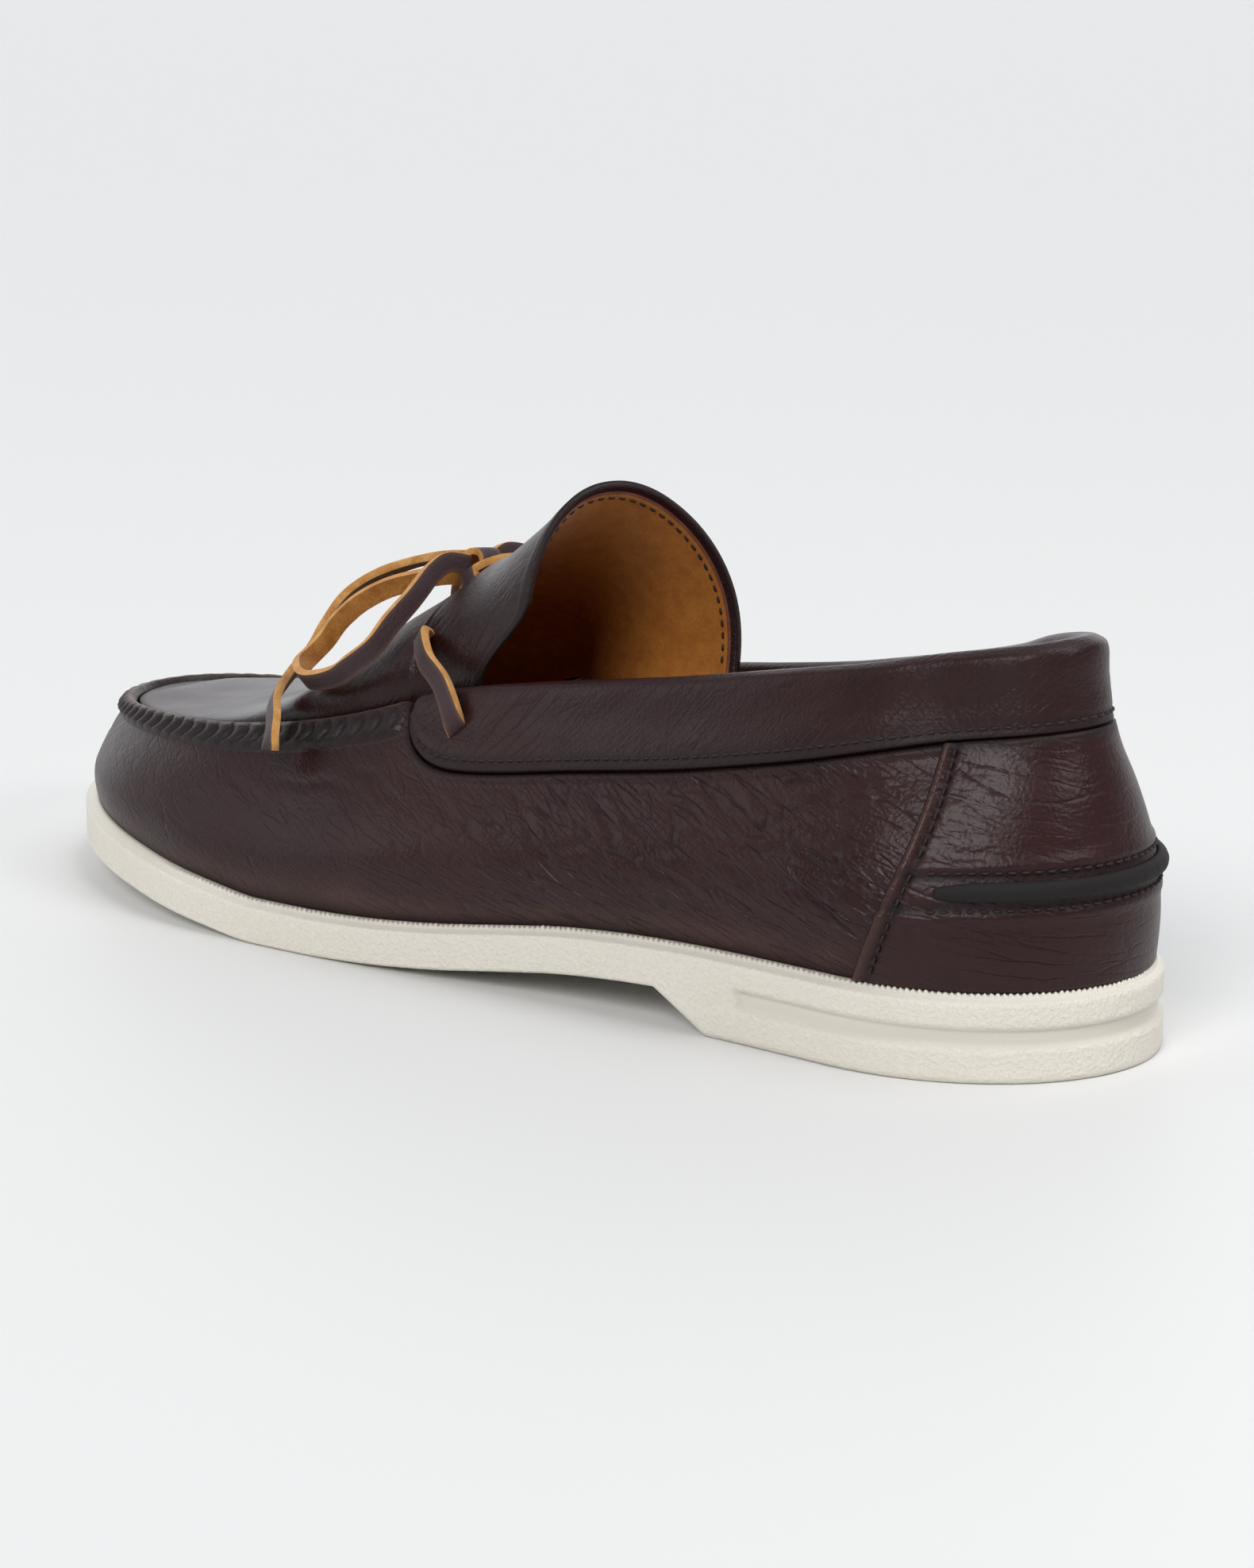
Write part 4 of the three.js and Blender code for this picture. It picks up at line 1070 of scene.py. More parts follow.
def knot_band():
    """One short band of lace wrapped round the middle of the bow."""
    ahead, normal = tongue_ways(KNOT_AT, 0.0)
    middle = tongue_point(KNOT_AT, 0.0) + normal * (CLEARANCE + KNOT_SIZE / 2)
    swing = np.linspace(0, 2 * math.pi, 65)[:-1]
    path = (
        middle
        + ahead * (KNOT_BAND_REACH * 1.05 * np.cos(swing))[:, None]
        + normal * (KNOT_BAND_REACH * 0.85 * np.sin(swing) + 0.4)[:, None]
        + np.array([0, 0.5, 0]) * np.sin(swing * 2)[:, None]
    )
    path = np.vstack([path, path[:3]])
    wide = np.tile(KNOT_BAND_WIDE, (len(path), 1))
    band = strip_piece("lace_knot_band", path, wide, -1, 17, KNOT_BAND_WIDTH, KNOT_BAND_THICKNESS)
    fixed(band, "lace", "lace_knot")


lace_bar()
strap("lace_strap_outer", 1, 1, 15)
strap("lace_strap_inner", -1, -1, 16)
knot_band()


# Creases placed one by one

# Main creases of the outer side, from the front end of each to its heel end, and their depths
QUARTER_CREASES = (
    ((-40.6, 40.0, 45.9), (-56.6, 44.0, 35.4), 0.55),
    ((-53.3, 42.0, 41.4), (-71.9, 42.0, 37.7), 0.50),
    ((-56.3, 38.0, 48.1), (-74.5, 40.0, 44.4), 0.45),
    ((-60.7, 37.0, 49.7), (-82.5, 37.0, 49.2), 0.40),
    ((-70.8, 41.0, 41.2), (-87.8, 41.0, 36.4), 0.60),
    ((-72.5, 37.0, 49.1), (-91.8, 39.0, 44.3), 0.60),
    ((-80.4, 40.0, 41.7), (-100.3, 40.0, 40.2), 0.55),
    ((-86.7, 42.0, 35.2), (-105.8, 41.0, 34.6), 0.50),
    ((-91.8, 39.0, 44.3), (-115.6, 38.0, 39.6), 0.60),
    ((-82.6, 36.0, 51.9), (-98.8, 37.0, 48.0), 0.50),
    ((-97.4, 34.0, 54.0), (-112.3, 34.0, 49.7), 0.50),
    ((-103.4, 31.0, 58.2), (-115.7, 30.0, 55.2), 0.50),
    ((-77.3, 42.5, 31.8), (-93.8, 41.0, 28.7), 0.45),
    ((-105.8, 41.0, 34.6), (-114.6, 39.0, 30.2), 0.45),
    ((-36.8, 46.0, 35.4), (-57.9, 44.0, 34.6), 0.40),
    ((-24.7, 45.0, 39.2), (-41.3, 46.0, 28.3), 0.40),
    ((-12.0, 45.0, 46.0), (-34.0, 45.0, 40.0), 0.30),
    ((2.0, 46.0, 41.0), (-20.0, 47.0, 31.0), 0.30),
    ((-62.0, 43.0, 34.5), (-80.0, 43.0, 27.0), 0.35),
)
COUNTER_CREASES = (
    ((-124.8, 23.0, 61.2), (-134.8, 18.5, 59.7), 0.27),
    ((-125.4, 25.0, 57.8), (-136.3, 19.6, 55.9), 0.27),
    ((-125.5, 26.5, 55.3), (-136.5, 21.9, 52.1), 0.27),
    ((-126.5, 28.3, 52.0), (-136.2, 24.2, 48.2), 0.24),
    ((-125.3, 31.1, 48.3), (-138.4, 24.6, 43.0), 0.33),
)
VAMP_CREASES = (
    ((62.0, 47.0, 33.0), (40.0, 49.0, 30.0), 0.30),
    ((88.0, 44.0, 31.0), (66.0, 50.0, 27.0), 0.30),
    ((48.0, 48.0, 36.0), (22.0, 48.0, 36.5), 0.35),
    ((28.0, 47.0, 41.0), (6.0, 47.0, 37.0), 0.35),
)
CREASE_WIDTH = 1.0
TROUGH_SHARE = 0.5
SWELL_SHARE = 0.22
INNER_SIDE_SHIFT = 3.5


def one_crease(points, front, back, number, seed):
    """Trough along a slightly swaying line, with a soft ridge along both of its sides."""
    length = np.linalg.norm(back - front)
    way = (back - front) / length
    apart = points - front
    along = apart @ way
    off = apart - along[..., None] * way
    share = np.clip(along / length, -0.3, 1.3)
    sway = 0.9 * np.sin(share * 5 + number * 1.7 + seed) + 0.35 * np.sin(share * 13 + number * 2.9)
    near = np.linalg.norm(off * np.array([1.0, 0.35, 1.0]), axis=-1)
    signed = np.where(off[..., 2] > 0, near, -near) - sway
    ends = ease(-0.12, 0.22, share) * (1 - ease(0.70, 1.12, share))
    trough = hill(0, CREASE_WIDTH, signed)
    swell = hill(2.3 * CREASE_WIDTH, 1.3 * CREASE_WIDTH, np.abs(signed))
    return ends * (SWELL_SHARE * swell - TROUGH_SHARE * trough)


def crease_depth(points, creases, seed):
    """Height of all creases; the inner side has the outer side's, each a little moved."""
    total = np.zeros(points.shape[:-1])
    mirrored = points * np.array([1.0, -1.0, 1.0])
    for number, (front, back, depth) in enumerate(creases):
        front, back = np.array(front), np.array(back)
        shift = unit(back - front) * INNER_SIDE_SHIFT * math.sin(2.3 * number + 1)
        for spot, moved in ((points, 0 * shift), (mirrored, shift)):
            height = one_crease(spot, front + moved, back + moved, number, seed)
            total += np.where(spot[..., 1] > 0, depth * height, 0.0)
    return total


# Upper: vamp and quarters round the foot

WALL_ROWS = 70
RIDGE_ROWS = 16
RIDGE_FROM = 0.84
TOE_PITCH = 0.6
HEEL_PITCH = 0.75
PUCKER_PITCH = 4.9
PUCKER_DEPTH = 1.9
PUCKER_BEND = 2.0
GATHER_DEPTH = 0.26
GATHER_SLANT = 34.0
RUMPLE_DEPTH = 0.05
EDGE_LIP = 0.7
EDGE_LIP_DROP = 0.9
EDGE_LIP_WIDTH = 0.7
DARK_INNER_ROWS = 4
INNER_ROWS = 14
CREST_SHARES = np.linspace(0.15, 0.85, 4)
TOE_WALL_HEIGHT = 45.0


def upper_pitch(at):
    return np.where(at > RIDGE_START - 0.02, TOE_PITCH, HEEL_PITCH)


def ridge_body(share):
    """How far the moccasin seam's edge stands out, up its face and over its crest."""
    return ease(0.0, 0.22, share) * (1 - 0.45 * ease(0.80, 1.0, share))


def ridge_puckers(share, along):
    """Round puckers between the seam's stitches, deepest halfway up the ridge."""
    bend = PUCKER_BEND * (1 - ((share - 0.5) * 2) ** 2)
    phase = along / PUCKER_PITCH * math.pi + 0.5 * wander(along / 11.0, 4)
    lobe = np.abs(np.sin(phase + bend)) ** 0.4
    size = 0.85 + 0.3 * wander(along / 7.0, 3)
    return (lobe - 0.75) * size * hill(0.50, 0.40, share) * ease(0.0, 0.18, share)


def upper_wall():
    """Rows and columns of the outer face, and the relief on it."""
    wall = SimpleNamespace()
    wall.turns = even_turns(top_point, upper_pitch)
    wall.at = along_of(wall.turns)
    wall.top = quarter_top(wall.turns)
    wall.under = feather(wall.turns)[:, 2]
    wall.height = top_point(wall.turns)[:, 2] - wall.under
    wall.run = run_length(top_point(wall.turns))
    wall.on_ridge = ease(RIDGE_START - 0.002, RIDGE_START + 0.008, wall.at)
    ridge_up = np.linspace(RIDGE_FROM, 1.0, RIDGE_ROWS)
    wall.up = np.concatenate([np.linspace(0, RIDGE_FROM, WALL_ROWS), ridge_up[1:]])[:, None]
    wall.ridge = np.clip((wall.up - RIDGE_FROM) / (1 - RIDGE_FROM), 0, 1)
    wall.puckers = ridge_puckers(wall.ridge, wall.run[None, :])
    wall.place = last_point(wall.turns[None, :], wall.up * wall.top[None, :])
    quarter_creases = crease_depth(wall.place, QUARTER_CREASES, 0.0)
    wall.creases = quarter_creases + crease_depth(wall.place, VAMP_CREASES, 1.0)
    return wall


def toe_gathers(wall):
    """Slanted soft folds under the seam, round the toe."""
    slanted = wall.run[None, :] + GATHER_SLANT * side_of(wall.turns)[None, :] * (wall.up - 0.8)
    here = hill(0.72, 0.18, wall.up) * ease(0.80, 0.93, wall.at)[None, :]
    return GATHER_DEPTH * here * wander(slanted / 1.9, 51) * (0.5 + 0.5 * wander(slanted / 9.0, 52))


def upper_relief(wall):
    """How far the outer face stands off the last."""
    place = wall.place
    edge_fade = 1 - ease(0.90, 1.0, wall.up) * (1 - wall.on_ridge)[None, :]
    slow = wander(place[..., 0] / 11.0 + place[..., 2] / 6.0, 5)
    rumple = RUMPLE_DEPTH * slow * wander(place[..., 2] / 8.0, 6)
    ridge_fade = 1 - 0.7 * wall.ridge * wall.on_ridge[None, :]
    to_edge = (1 - wall.up) * (wall.height * wall.top)[None, :]
    return (
        wall.on_ridge * (RIDGE_PROUD * ridge_body(wall.ridge) + PUCKER_DEPTH * wall.puckers)
        + toe_gathers(wall)
        + (wall.creases + rumple) * edge_fade * ridge_fade
        + (1 - wall.on_ridge) * EDGE_LIP * hill(EDGE_LIP_DROP, EDGE_LIP_WIDTH, to_edge)
    )


def upper_rows(wall):
    """Outer face, round edge over the top, then the inner face down to the sole."""
    top = wall.top[None, :]
    outer = off_last(wall.turns[None, :], wall.up * top, upper_relief(wall))
    shares = CREST_SHARES[:, None]
    crest_out = wall.on_ridge * (RIDGE_PROUD * 0.55) * (1 - shares) - WALL * shares
    crest = off_last(wall.turns[None, :], np.broadcast_to(wall.top, crest_out.shape), crest_out)
    rise = RIDGE_RISE * np.sin(math.pi * shares) * wall.on_ridge
    crest[..., 2] += rise * (1 + 0.3 * wander(wall.run / 2.2, 53))
    inner = off_last(wall.turns[None, :], np.linspace(1.0, 0.0, INNER_ROWS)[:, None] * top, -WALL)
    outer[..., 2] = np.maximum(outer[..., 2], wall.under)
    inner[..., 2] = np.maximum(inner[..., 2], wall.under)
    return np.concatenate([outer, crest, inner])


def upper_slots(wall, row_count):
    """Vamp leather outside, lining inside, welt leather over the moccasin seam."""
    row = np.repeat(np.arange(row_count), len(wall.turns))
    column = np.tile(np.arange(len(wall.turns)), row_count)
    dark_to = len(wall.up) + len(CREST_SHARES) - 1 + DARK_INNER_ROWS
    on_seam = (row >= WALL_ROWS - 1) & (row < dark_to) & (wall.on_ridge[column] > 0.5)
    return np.where(on_seam, 2, np.where(row >= dark_to, 1, 0))


def upper_paint(wall, rows):
    """Shade, crease and rub of the upper."""
    shade, crease, rub = np.zeros((3,) + rows.shape[:2])
    outer = slice(0, len(wall.up))
    near_top = (1 - wall.up) * wall.height[None, :]
    seam_shade = (0.35 + np.clip(-wall.puckers * 2.2, 0, 0.6)) * hill(0.45, 0.5, wall.ridge)
    shade[outer] = (1 - wall.on_ridge) * hill(0, 1.3, near_top) * 0.9
    shade[outer] += wall.on_ridge * seam_shade
    shade[outer] += 0.5 * np.clip(-wall.creases - 0.05, 0, 1)
    shade[outer] += 0.55 * hill(0, 1.6, wall.up * TOE_WALL_HEIGHT)
    heel_part = ease(0.05, 0.14, wall.at) * (1 - ease(0.40, 0.56, wall.at))
    crease[outer] = (heel_part + 0.35 * ease(0.40, 0.56, wall.at)) * (1 - wall.ridge * wall.on_ridge)
    scuffs = 0.10 * hill(0.10, 0.07, wall.up) * (1 + wander(wall.run / 11.0, 8))
    rub[len(wall.up) - 1:len(wall.up) + 2] = 0.45 * wall.on_ridge
    rub[outer] += np.clip(scuffs, 0, 1)
    return paint(rows, shade, crease, rub)


def make_upper():
    wall = upper_wall()
    rows = upper_rows(wall)
    faces = outward_faces(rows, grid_faces(len(rows), len(wall.turns), wrap_rows=True, wrap_columns=True))
    leathers = (vamp_leather, tan_lining, welt_leather)
    slots = upper_slots(wall, len(rows))
    upper = make_mesh("upper_leather", rows, faces, leathers, slots, upper_paint(wall, rows))
    fixed(upper, "leather", "upper")


make_upper()


# Heel counter: raised folded edge along its slanted seam, and the lips beside the heel strip

# Half of the counter's reach round the heel, as a turn in degrees
COUNTER_LIMIT = table(
    "up turn",
    (0.000, 42.7),
    (0.108, 41.5),
    (0.275, 39.0),
    (0.433, 36.0),
    (0.583, 33.5),
    (0.760, 31.2),
)
COUNTER_ROWS = 60
COUNTER_COLUMNS = 220
COUNTER_TOP_UP = 0.745
DEGREE_LENGTH = 0.95
EDGE_FOLD = 0.5
EDGE_FOLD_GAP = 0.7
SEAM_STITCH_GAP = 2.1
STRIP_UP = 0.312
STRIP_WALL_HEIGHT = 47.0
STRIP_GROOVE_GAP = 2.3
STRIP_LIP_GAP = 3.5


def counter_limit(up):
    return np.radians(smooth(COUNTER_LIMIT, "turn", up, key="up"))


def make_counter():
    up = np.linspace(0, 1, COUNTER_ROWS)
    sweep = np.linspace(-1, 1, COUNTER_COLUMNS)
    limit = counter_limit(up * COUNTER_TOP_UP)
    turns = (sweep[None, :] * limit[:, None]) % (2 * math.pi)
    wall_up = up[:, None] * quarter_top(turns)
    place = last_point(turns, wall_up)
    edge_gap = (1 - np.abs(sweep))[None, :] * limit[:, None] / math.radians(1.0) * DEGREE_LENGTH
    strip_gap = np.abs(wall_up - STRIP_UP) * STRIP_WALL_HEIGHT
    creases = crease_depth(place, COUNTER_CREASES, 2.0)
    fold = EDGE_FOLD * hill(EDGE_FOLD_GAP, 0.6, edge_gap) - 0.3 * hill(SEAM_STITCH_GAP, 0.45, edge_gap)
    lips = 0.5 * hill(STRIP_LIP_GAP, 0.8, strip_gap) - 0.3 * hill(STRIP_GROOVE_GAP, 0.5, strip_gap)
    rumple = RUMPLE_DEPTH * wander(place[..., 2] / 7.0 + place[..., 1] / 12.0, 9)
    round_off = COUNTER_THICKNESS * 0.5 * np.clip(1 - edge_gap / 0.5, 0, 1) ** 2
    stand_off = CLEARANCE + COUNTER_THICKNESS + fold + lips + creases + rumple - round_off
    outer = off_last(turns, wall_up, stand_off)
    inner = off_last(turns, wall_up, CLEARANCE)
    floor_height = feather(turns)[..., 2]
    outer[..., 2] = np.maximum(outer[..., 2], floor_height)
    inner[..., 2] = np.maximum(inner[..., 2], floor_height)
    loops = np.concatenate([outer, inner[:, ::-1]], axis=1)
    shade, crease, rub = np.zeros((3,) + loops.shape[:2])
    shade[:, :COUNTER_COLUMNS] = (
        0.6 * hill(SEAM_STITCH_GAP, 0.6, edge_gap)
        + 0.4 * np.clip(-creases, 0, 1)
        + 0.8 * hill(STRIP_GROOVE_GAP, 0.7, strip_gap)
        + 0.7 * hill(0, 1.2, (1 - up[:, None]) * 40)
    )
    crease[:] = 0.55
    rub[:, :COUNTER_COLUMNS] = 0.18 * hill(EDGE_FOLD_GAP, 0.5, edge_gap)
    painting = paint(loops, np.clip(shade, 0, 1), crease, rub)
    counter = make_mesh("heel_counter_leather", loops, closed_tube(loops), (counter_leather,), None, painting)
    fixed(counter, "leather", "heel_counter")


make_counter()


# Heel strip: rounded, thin at its ends

STRIP_END = 0.076
STRIP_TAPER = 0.35
STRIP_TAPER_SHARE = 0.16
STRIP_HIGH_SHARE = 0.72
STRIP_THICK_SHARE = 0.85


def make_heel_strip():
    steps = np.linspace(-1, 1, 170)
    turns = (steps * turn_of(STRIP_END)) % (2 * math.pi)
    near_end = np.minimum(1, (1 - np.abs(steps)) / STRIP_TAPER_SHARE)
    size = STRIP_TAPER + (1 - STRIP_TAPER) * np.sqrt(near_end)
    half = STRIP_HIGH_SHARE * STRIP_HEIGHT / 2 * size / (top_point(turns)[:, 2] - feather(turns)[:, 2])
    thick = STRIP_THICKNESS * (STRIP_THICK_SHARE * size * (1 + 0.05 * wander(steps * 30, 21)))
    arc = np.linspace(0, math.pi, 14)[:, None]
    rest = 2 * CLEARANCE + COUNTER_THICKNESS
    points = off_last(
        turns[None, :],
        STRIP_UP - half[None, :] * np.cos(arc),
        rest + thick[None, :] * np.clip(np.sin(arc), 0, 1) ** 0.7,
    )
    rows = np.swapaxes(points, 0, 1)
    strip = make_mesh("heel_strip_leather", rows, closed_tube(rows), (strip_leather,), None, paint(rows))
    fixed(strip, "strip_leather", "heel_strip")


make_heel_strip()


# Collar band: padded roll round the ankle

# Section of the band: share of the way up, and shares of its stand-off, padding and roll
BAND_PROFILE = table(
    "share proud pad roll",
    (0.00, 0.0, 0.00, 0.0),
    (0.08, 1.0, 0.00, 0.0),
    (0.50, 1.0, 0.00, 0.0),
    (0.88, 0.9, 0.00, 0.0),
    (1.00, 0.2, 0.00, 0.3),
    (1.00, 0.0, 0.35, 1.0),
    (1.00, 0.0, 0.75, 0.7),
    (0.90, 0.0, 1.00, 0.0),
    (0.50, 0.0, 1.00, 0.0),
    (0.06, 0.0, 0.58, 0.0),
)
BAND_SECTION = 44
BAND_COLUMNS = 380
BAND_STITCH_SHARE = 0.12
BAND_DRAWN_IN = 0.35
BAND_SLACK = 0.18
LINE_STEPS = 400
BAND_END = turn_of(COLLAR_END)


def closed_curve(values, count):
    """Smooth closed curve through the values, sampled evenly by their numbers."""
    size = len(values)
    t = np.linspace(0, size, count, endpoint=False)
    i = t.astype(int)
    u = t - i
    a, b, c, d = (values[(i + k) % size] for k in (-1, 0, 1, 2))
    return 0.5 * (2 * b + (c - a) * u + (2 * a - 5 * b + 4 * c - d) * u**2 + (3 * b - a - 3 * c + d) * u**3)


def make_collar():
    line = np.linspace(-BAND_END, BAND_END, LINE_STEPS)
    length = run_length(top_point(line))
    turns = np.interp(np.linspace(0, length[-1], BAND_COLUMNS), length, line) % (2 * math.pi)
    at = along_of(turns)
    seam = (smooth(COLLAR_SEAM, "up", at) + seam_gap(turns))[None, :]
    section = {key: closed_curve(values, BAND_SECTION)[:, None] for key, values in BAND_PROFILE.items()}
    share = section["share"]
    pad = COLLAR_PAD_FRONT + (COLLAR_PAD_HEEL - COLLAR_PAD_FRONT) * np.clip(1 - at / COLLAR_END, 0, None)
    pad = pad * (1 + 0.05 * wander(np.linspace(0, 40, BAND_COLUMNS), 31))
    slack = wander(np.linspace(0, 55, BAND_COLUMNS)[None, :] + 6 * share, 33) * ease(0.1, 0.3, share)
    stitch_gap = np.abs(share - BAND_STITCH_SHARE)
    outside = section["proud"] > 0.6
    drawn_in = BAND_DRAWN_IN * hill(0, 0.07, stitch_gap) * outside
    out = COLLAR_PROUD * section["proud"] - pad[None, :] * section["pad"] + BAND_SLACK * slack - drawn_in
    points = off_last(turns[None, :], np.minimum(seam + (1 - seam) * share, 1.0), out)
    points[..., 2] += COLLAR_ROLL * section["roll"]
    rows = np.swapaxes(points, 0, 1)
    along_seam = 0.5 * hill(0, 0.06, stitch_gap) * outside + 0.7 * hill(0.0, 0.05, share)
    shade = np.broadcast_to(along_seam[:, 0], rows.shape[:2])
    painting = paint(rows, shade, np.full(rows.shape[:2], 0.5))
    band = make_mesh("collar_leather", rows, closed_tube(rows), (collar_leather,), None, painting)
    fixed(band, "leather", "collar_band")


make_collar()


# Plug and tongue in one piece, leather outside and flesh side inside

TONGUE_LENGTH_ROWS = 230
TONGUE_ACROSS_ROWS = 120
TONGUE_ROW_SHARES = (0, 0.62, 0.94, 1)
TONGUE_ROW_PLACES = (0.450, 0.70, 0.985, 0.9985)
BINDING_WIDTH = 1.0
CUT_WIDTH = 0.6
BINDING_STEP = 0.25
BINDING_FROM = 2.4
BINDING_TO = 3.4
PLUG_RUMPLE = 0.15
FLEX_DEPTH = 0.35
FLEX_PITCH = 4.4
FAR_OFF = 1e3


def run_over(points, axis):
    """Length along one axis of a grid of points, from 0."""
    steps = np.cumsum(np.linalg.norm(np.diff(points, axis=axis), axis=-1), axis=axis)
    return np.insert(steps, 0, 0.0, axis=axis)


def tongue_slots(edge_gap):
    """Binding and cut edge round the flesh side of the tongue's free part."""
    outside = np.full_like(edge_gap, -1.0)
    gap = np.concatenate([outside, edge_gap[:, ::-1]], axis=1)[:-1].ravel()
    return np.where(gap <= BINDING_WIDTH, 0, np.where(gap <= BINDING_WIDTH + CUT_WIDTH, 2, 1))


def make_tongue():
    at = np.interp(np.linspace(0, 1, TONGUE_LENGTH_ROWS), TONGUE_ROW_SHARES, TONGUE_ROW_PLACES)[:, None]
    across = np.linspace(1, -1, TONGUE_ACROSS_ROWS)[None, :]
    sheet = tongue_point(at, across)
    _, normal = tongue_ways(*np.broadcast_arrays(np.clip(at, 0.4541, 0.9839), np.clip(across, -0.994, 0.994)))
    row_run = run_over(sheet, 0)
    side_run = run_over(sheet, 1)
    side_gap = np.minimum(side_run, side_run[:, -1:] - side_run)
    free = smooth(TONGUE_ROWS, "free", at)
    edge_gap = np.minimum(row_run, np.where(free > 0.5, side_gap, FAR_OFF))
    thickness = TONGUE_THICKNESS * (0.62 + 0.38 * ease(0.0, 2.5, row_run))
    slow = wander(sheet[..., 0] / 9.0 + sheet[..., 1] / 13.0, 41)
    rumple = PLUG_RUMPLE * slow * ease(1.0, 6.0, side_gap)
    flex = FLEX_DEPTH * ease(0.50, 0.56, at) * (1 - ease(0.66, 0.78, at)) * hill(0, 0.6, across)
    flex = flex * np.sin(row_run / FLEX_PITCH + 0.8 * np.sin(across * 3))
    beside_binding = ease(BINDING_FROM, BINDING_TO, edge_gap)
    binding_step = BINDING_STEP * beside_binding * (free > 0.5)
    outer = sheet + normal * (rumple + flex - binding_step)[..., None]
    inner = sheet - normal * (thickness - rumple * 0.5)[..., None]
    loops = np.concatenate([outer, inner[:, ::-1]], axis=1)
    faces = closed_tube(loops)
    slots = tongue_slots(edge_gap)
    slots = np.concatenate([slots, np.zeros(len(faces) - len(slots), int)])
    shade, crease, rub = np.zeros((3,) + loops.shape[:2])
    shade[:, :TONGUE_ACROSS_ROWS] = 0.55 * (1 - beside_binding) * (free > 0.5)
    shade[:, :TONGUE_ACROSS_ROWS] += 0.6 * hill(0, 1.2, side_gap) * (free < 0.5)
    shade[:, TONGUE_ACROSS_ROWS:] = (0.1 * ease(30.0, 75.0, row_run) * (free > 0.01))[:, ::-1]
    crease[:, :TONGUE_ACROSS_ROWS] = 0.8 * (1 - ease(0.60, 0.72, at)) + 0.1
    leathers = (tongue_leather, tan_lining, cut_edge)
    painting = paint(loops, np.clip(shade, 0, 1), crease, rub)
    tongue = make_mesh("plug_tongue_leather", loops, faces, leathers, slots, painting)
    fixed(tongue, "leather", "plug_tongue")


make_tongue()


# Outsole and insole

SIDE_BEVEL = 0.9
SOLE_PITCH = 0.40
SIDE_ROWS = 22
TOOTH_PITCH = 1.35
TOOTH_HEIGHT = 1.0
GROOVE_SLANT = 0.020
GROOVE_LOW = (0.425, 0.455)
GROOVE_HIGH = (0.665, 0.695)
# Rows over the ledge: distance in from the rim, share of a tooth's height, darkness
LEDGE_ROWS = ((1.30, 0.0, 0.0), (1.42, 0.0, 0.1), (1.60, 1.0, 0.0), (2.05, 1.0, 0.0), (2.3, 0.1, 0.2))


def sole_pitch(at):
    return np.full_like(at, SOLE_PITCH)


def sole_row(turns, out, height):
    return sole_edge(turns, np.broadcast_to(out, turns.shape), height)


def drawn_in(turns, source, share):
    """Row drawn in towards the sole's middle line, at the same height."""
    centre = HALF_BALL * smooth(SOLE_OUTLINE, "centre", along_of(turns))
    flat = source.copy()
    flat[:, 1] = centre + (flat[:, 1] - centre) * share
    return flat


def groove_in(at, share):
    """1 in the groove round the heel, 0 outside it."""
    end = GROOVE_END + GROOVE_SLANT * (share - 0.5)
    return ease(*GROOVE_LOW, share) * (1 - ease(*GROOVE_HIGH, share)) * (1 - ease(end - 0.004, end, at))


def under_rows(turns, low):
    """Rows of the underside: points, stipple, shade and tread."""
    rim = sole_row(turns, -SIDE_BEVEL, low)
    rows = [(drawn_in(turns, rim, share), 0.0, 0.0, 0.9) for share in (0.0, 0.25, 0.5, 0.75, 0.92)]
    rows.append((rim, 0.0, 0.15, 0.9))
    rows.append((sole_row(turns, -0.3 * SIDE_BEVEL, low + 0.3 * SIDE_BEVEL), 0.6, 0.1, 0.0))
    return rows


def side_rows(turns, low, rim):
    """Rows of the stippled side, with the groove round the heel."""
    rows = []
    for share in np.linspace(0.08, 0.93, SIDE_ROWS):
        groove = groove_in(along_of(turns), share)
        points = sole_row(turns, -GROOVE_DEPTH * groove, low + (rim - low) * share)
        rows.append((points, 1.0 - 0.85 * groove, 0.22 * groove, 0.0))
    for out, lift, stipple in ((-0.05, -0.3, 0.9), (-0.3, 0.05, 0.6), (-0.7, 0.20, 0.3)):
        rows.append((sole_row(turns, out * SIDE_BEVEL, rim + lift * SIDE_BEVEL), stipple, 0.0, 0.0))
    return rows


def ledge_rows(turns, rim):
    """Rows of the ledge with its cut teeth, which fade out round the inner side of the toe."""
    run = run_length(sole_row(turns, 0.0, 0 * turns))
    tooth = np.clip(2.2 * np.abs((run / TOOTH_PITCH) % 1 - 0.5) * 2 - 0.6, 0, 1)
    toothed = 1 - ease(0.70, 0.78, along_of(turns)) * (np.sin(turns) > 0)
    tooth = tooth * toothed * (0.75 + 0.25 * wander(run / 1.9, 61))
    rows = []
    for inward, lift, dark in LEDGE_ROWS:
        height = rim + LEDGE_RISE / LEDGE_WIDTH * inward + TOOTH_HEIGHT * lift * tooth
        rows.append((sole_row(turns, -inward, height), 0.0, dark * toothed, 0.0))
    last = sole_row(turns, -LEDGE_WIDTH, rim + LEDGE_RISE)
    rows.append((last, 0.0, 0.5, 0.0))
    rows.extend((drawn_in(turns, last, share), 0.0, 0.0, 0.0) for share in (0.85, 0.5, 0.0))
    return rows


def make_outsole():
    turns = even_turns(lambda turn: sole_edge(turn, 0 * turn, 0 * turn), sole_pitch)
    low, rim = sole_under(along_of(turns)), sole_rim(along_of(turns))
    rows = under_rows(turns, low) + side_rows(turns, low, rim) + ledge_rows(turns, rim)
    points = np.array([row[0] for row in rows])
    painting = {
        name: np.array([np.broadcast_to(row[number], turns.shape) for row in rows])
        for number, name in enumerate(("stipple", "shade", "tread"), 1)
    }
    faces = outward_faces(points, grid_faces(len(points), len(turns), wrap_columns=True))
    outsole = make_mesh("rubber_outsole", points, faces, (rubber,), None, painting)
    fixed(outsole, "rubber", "outsole")


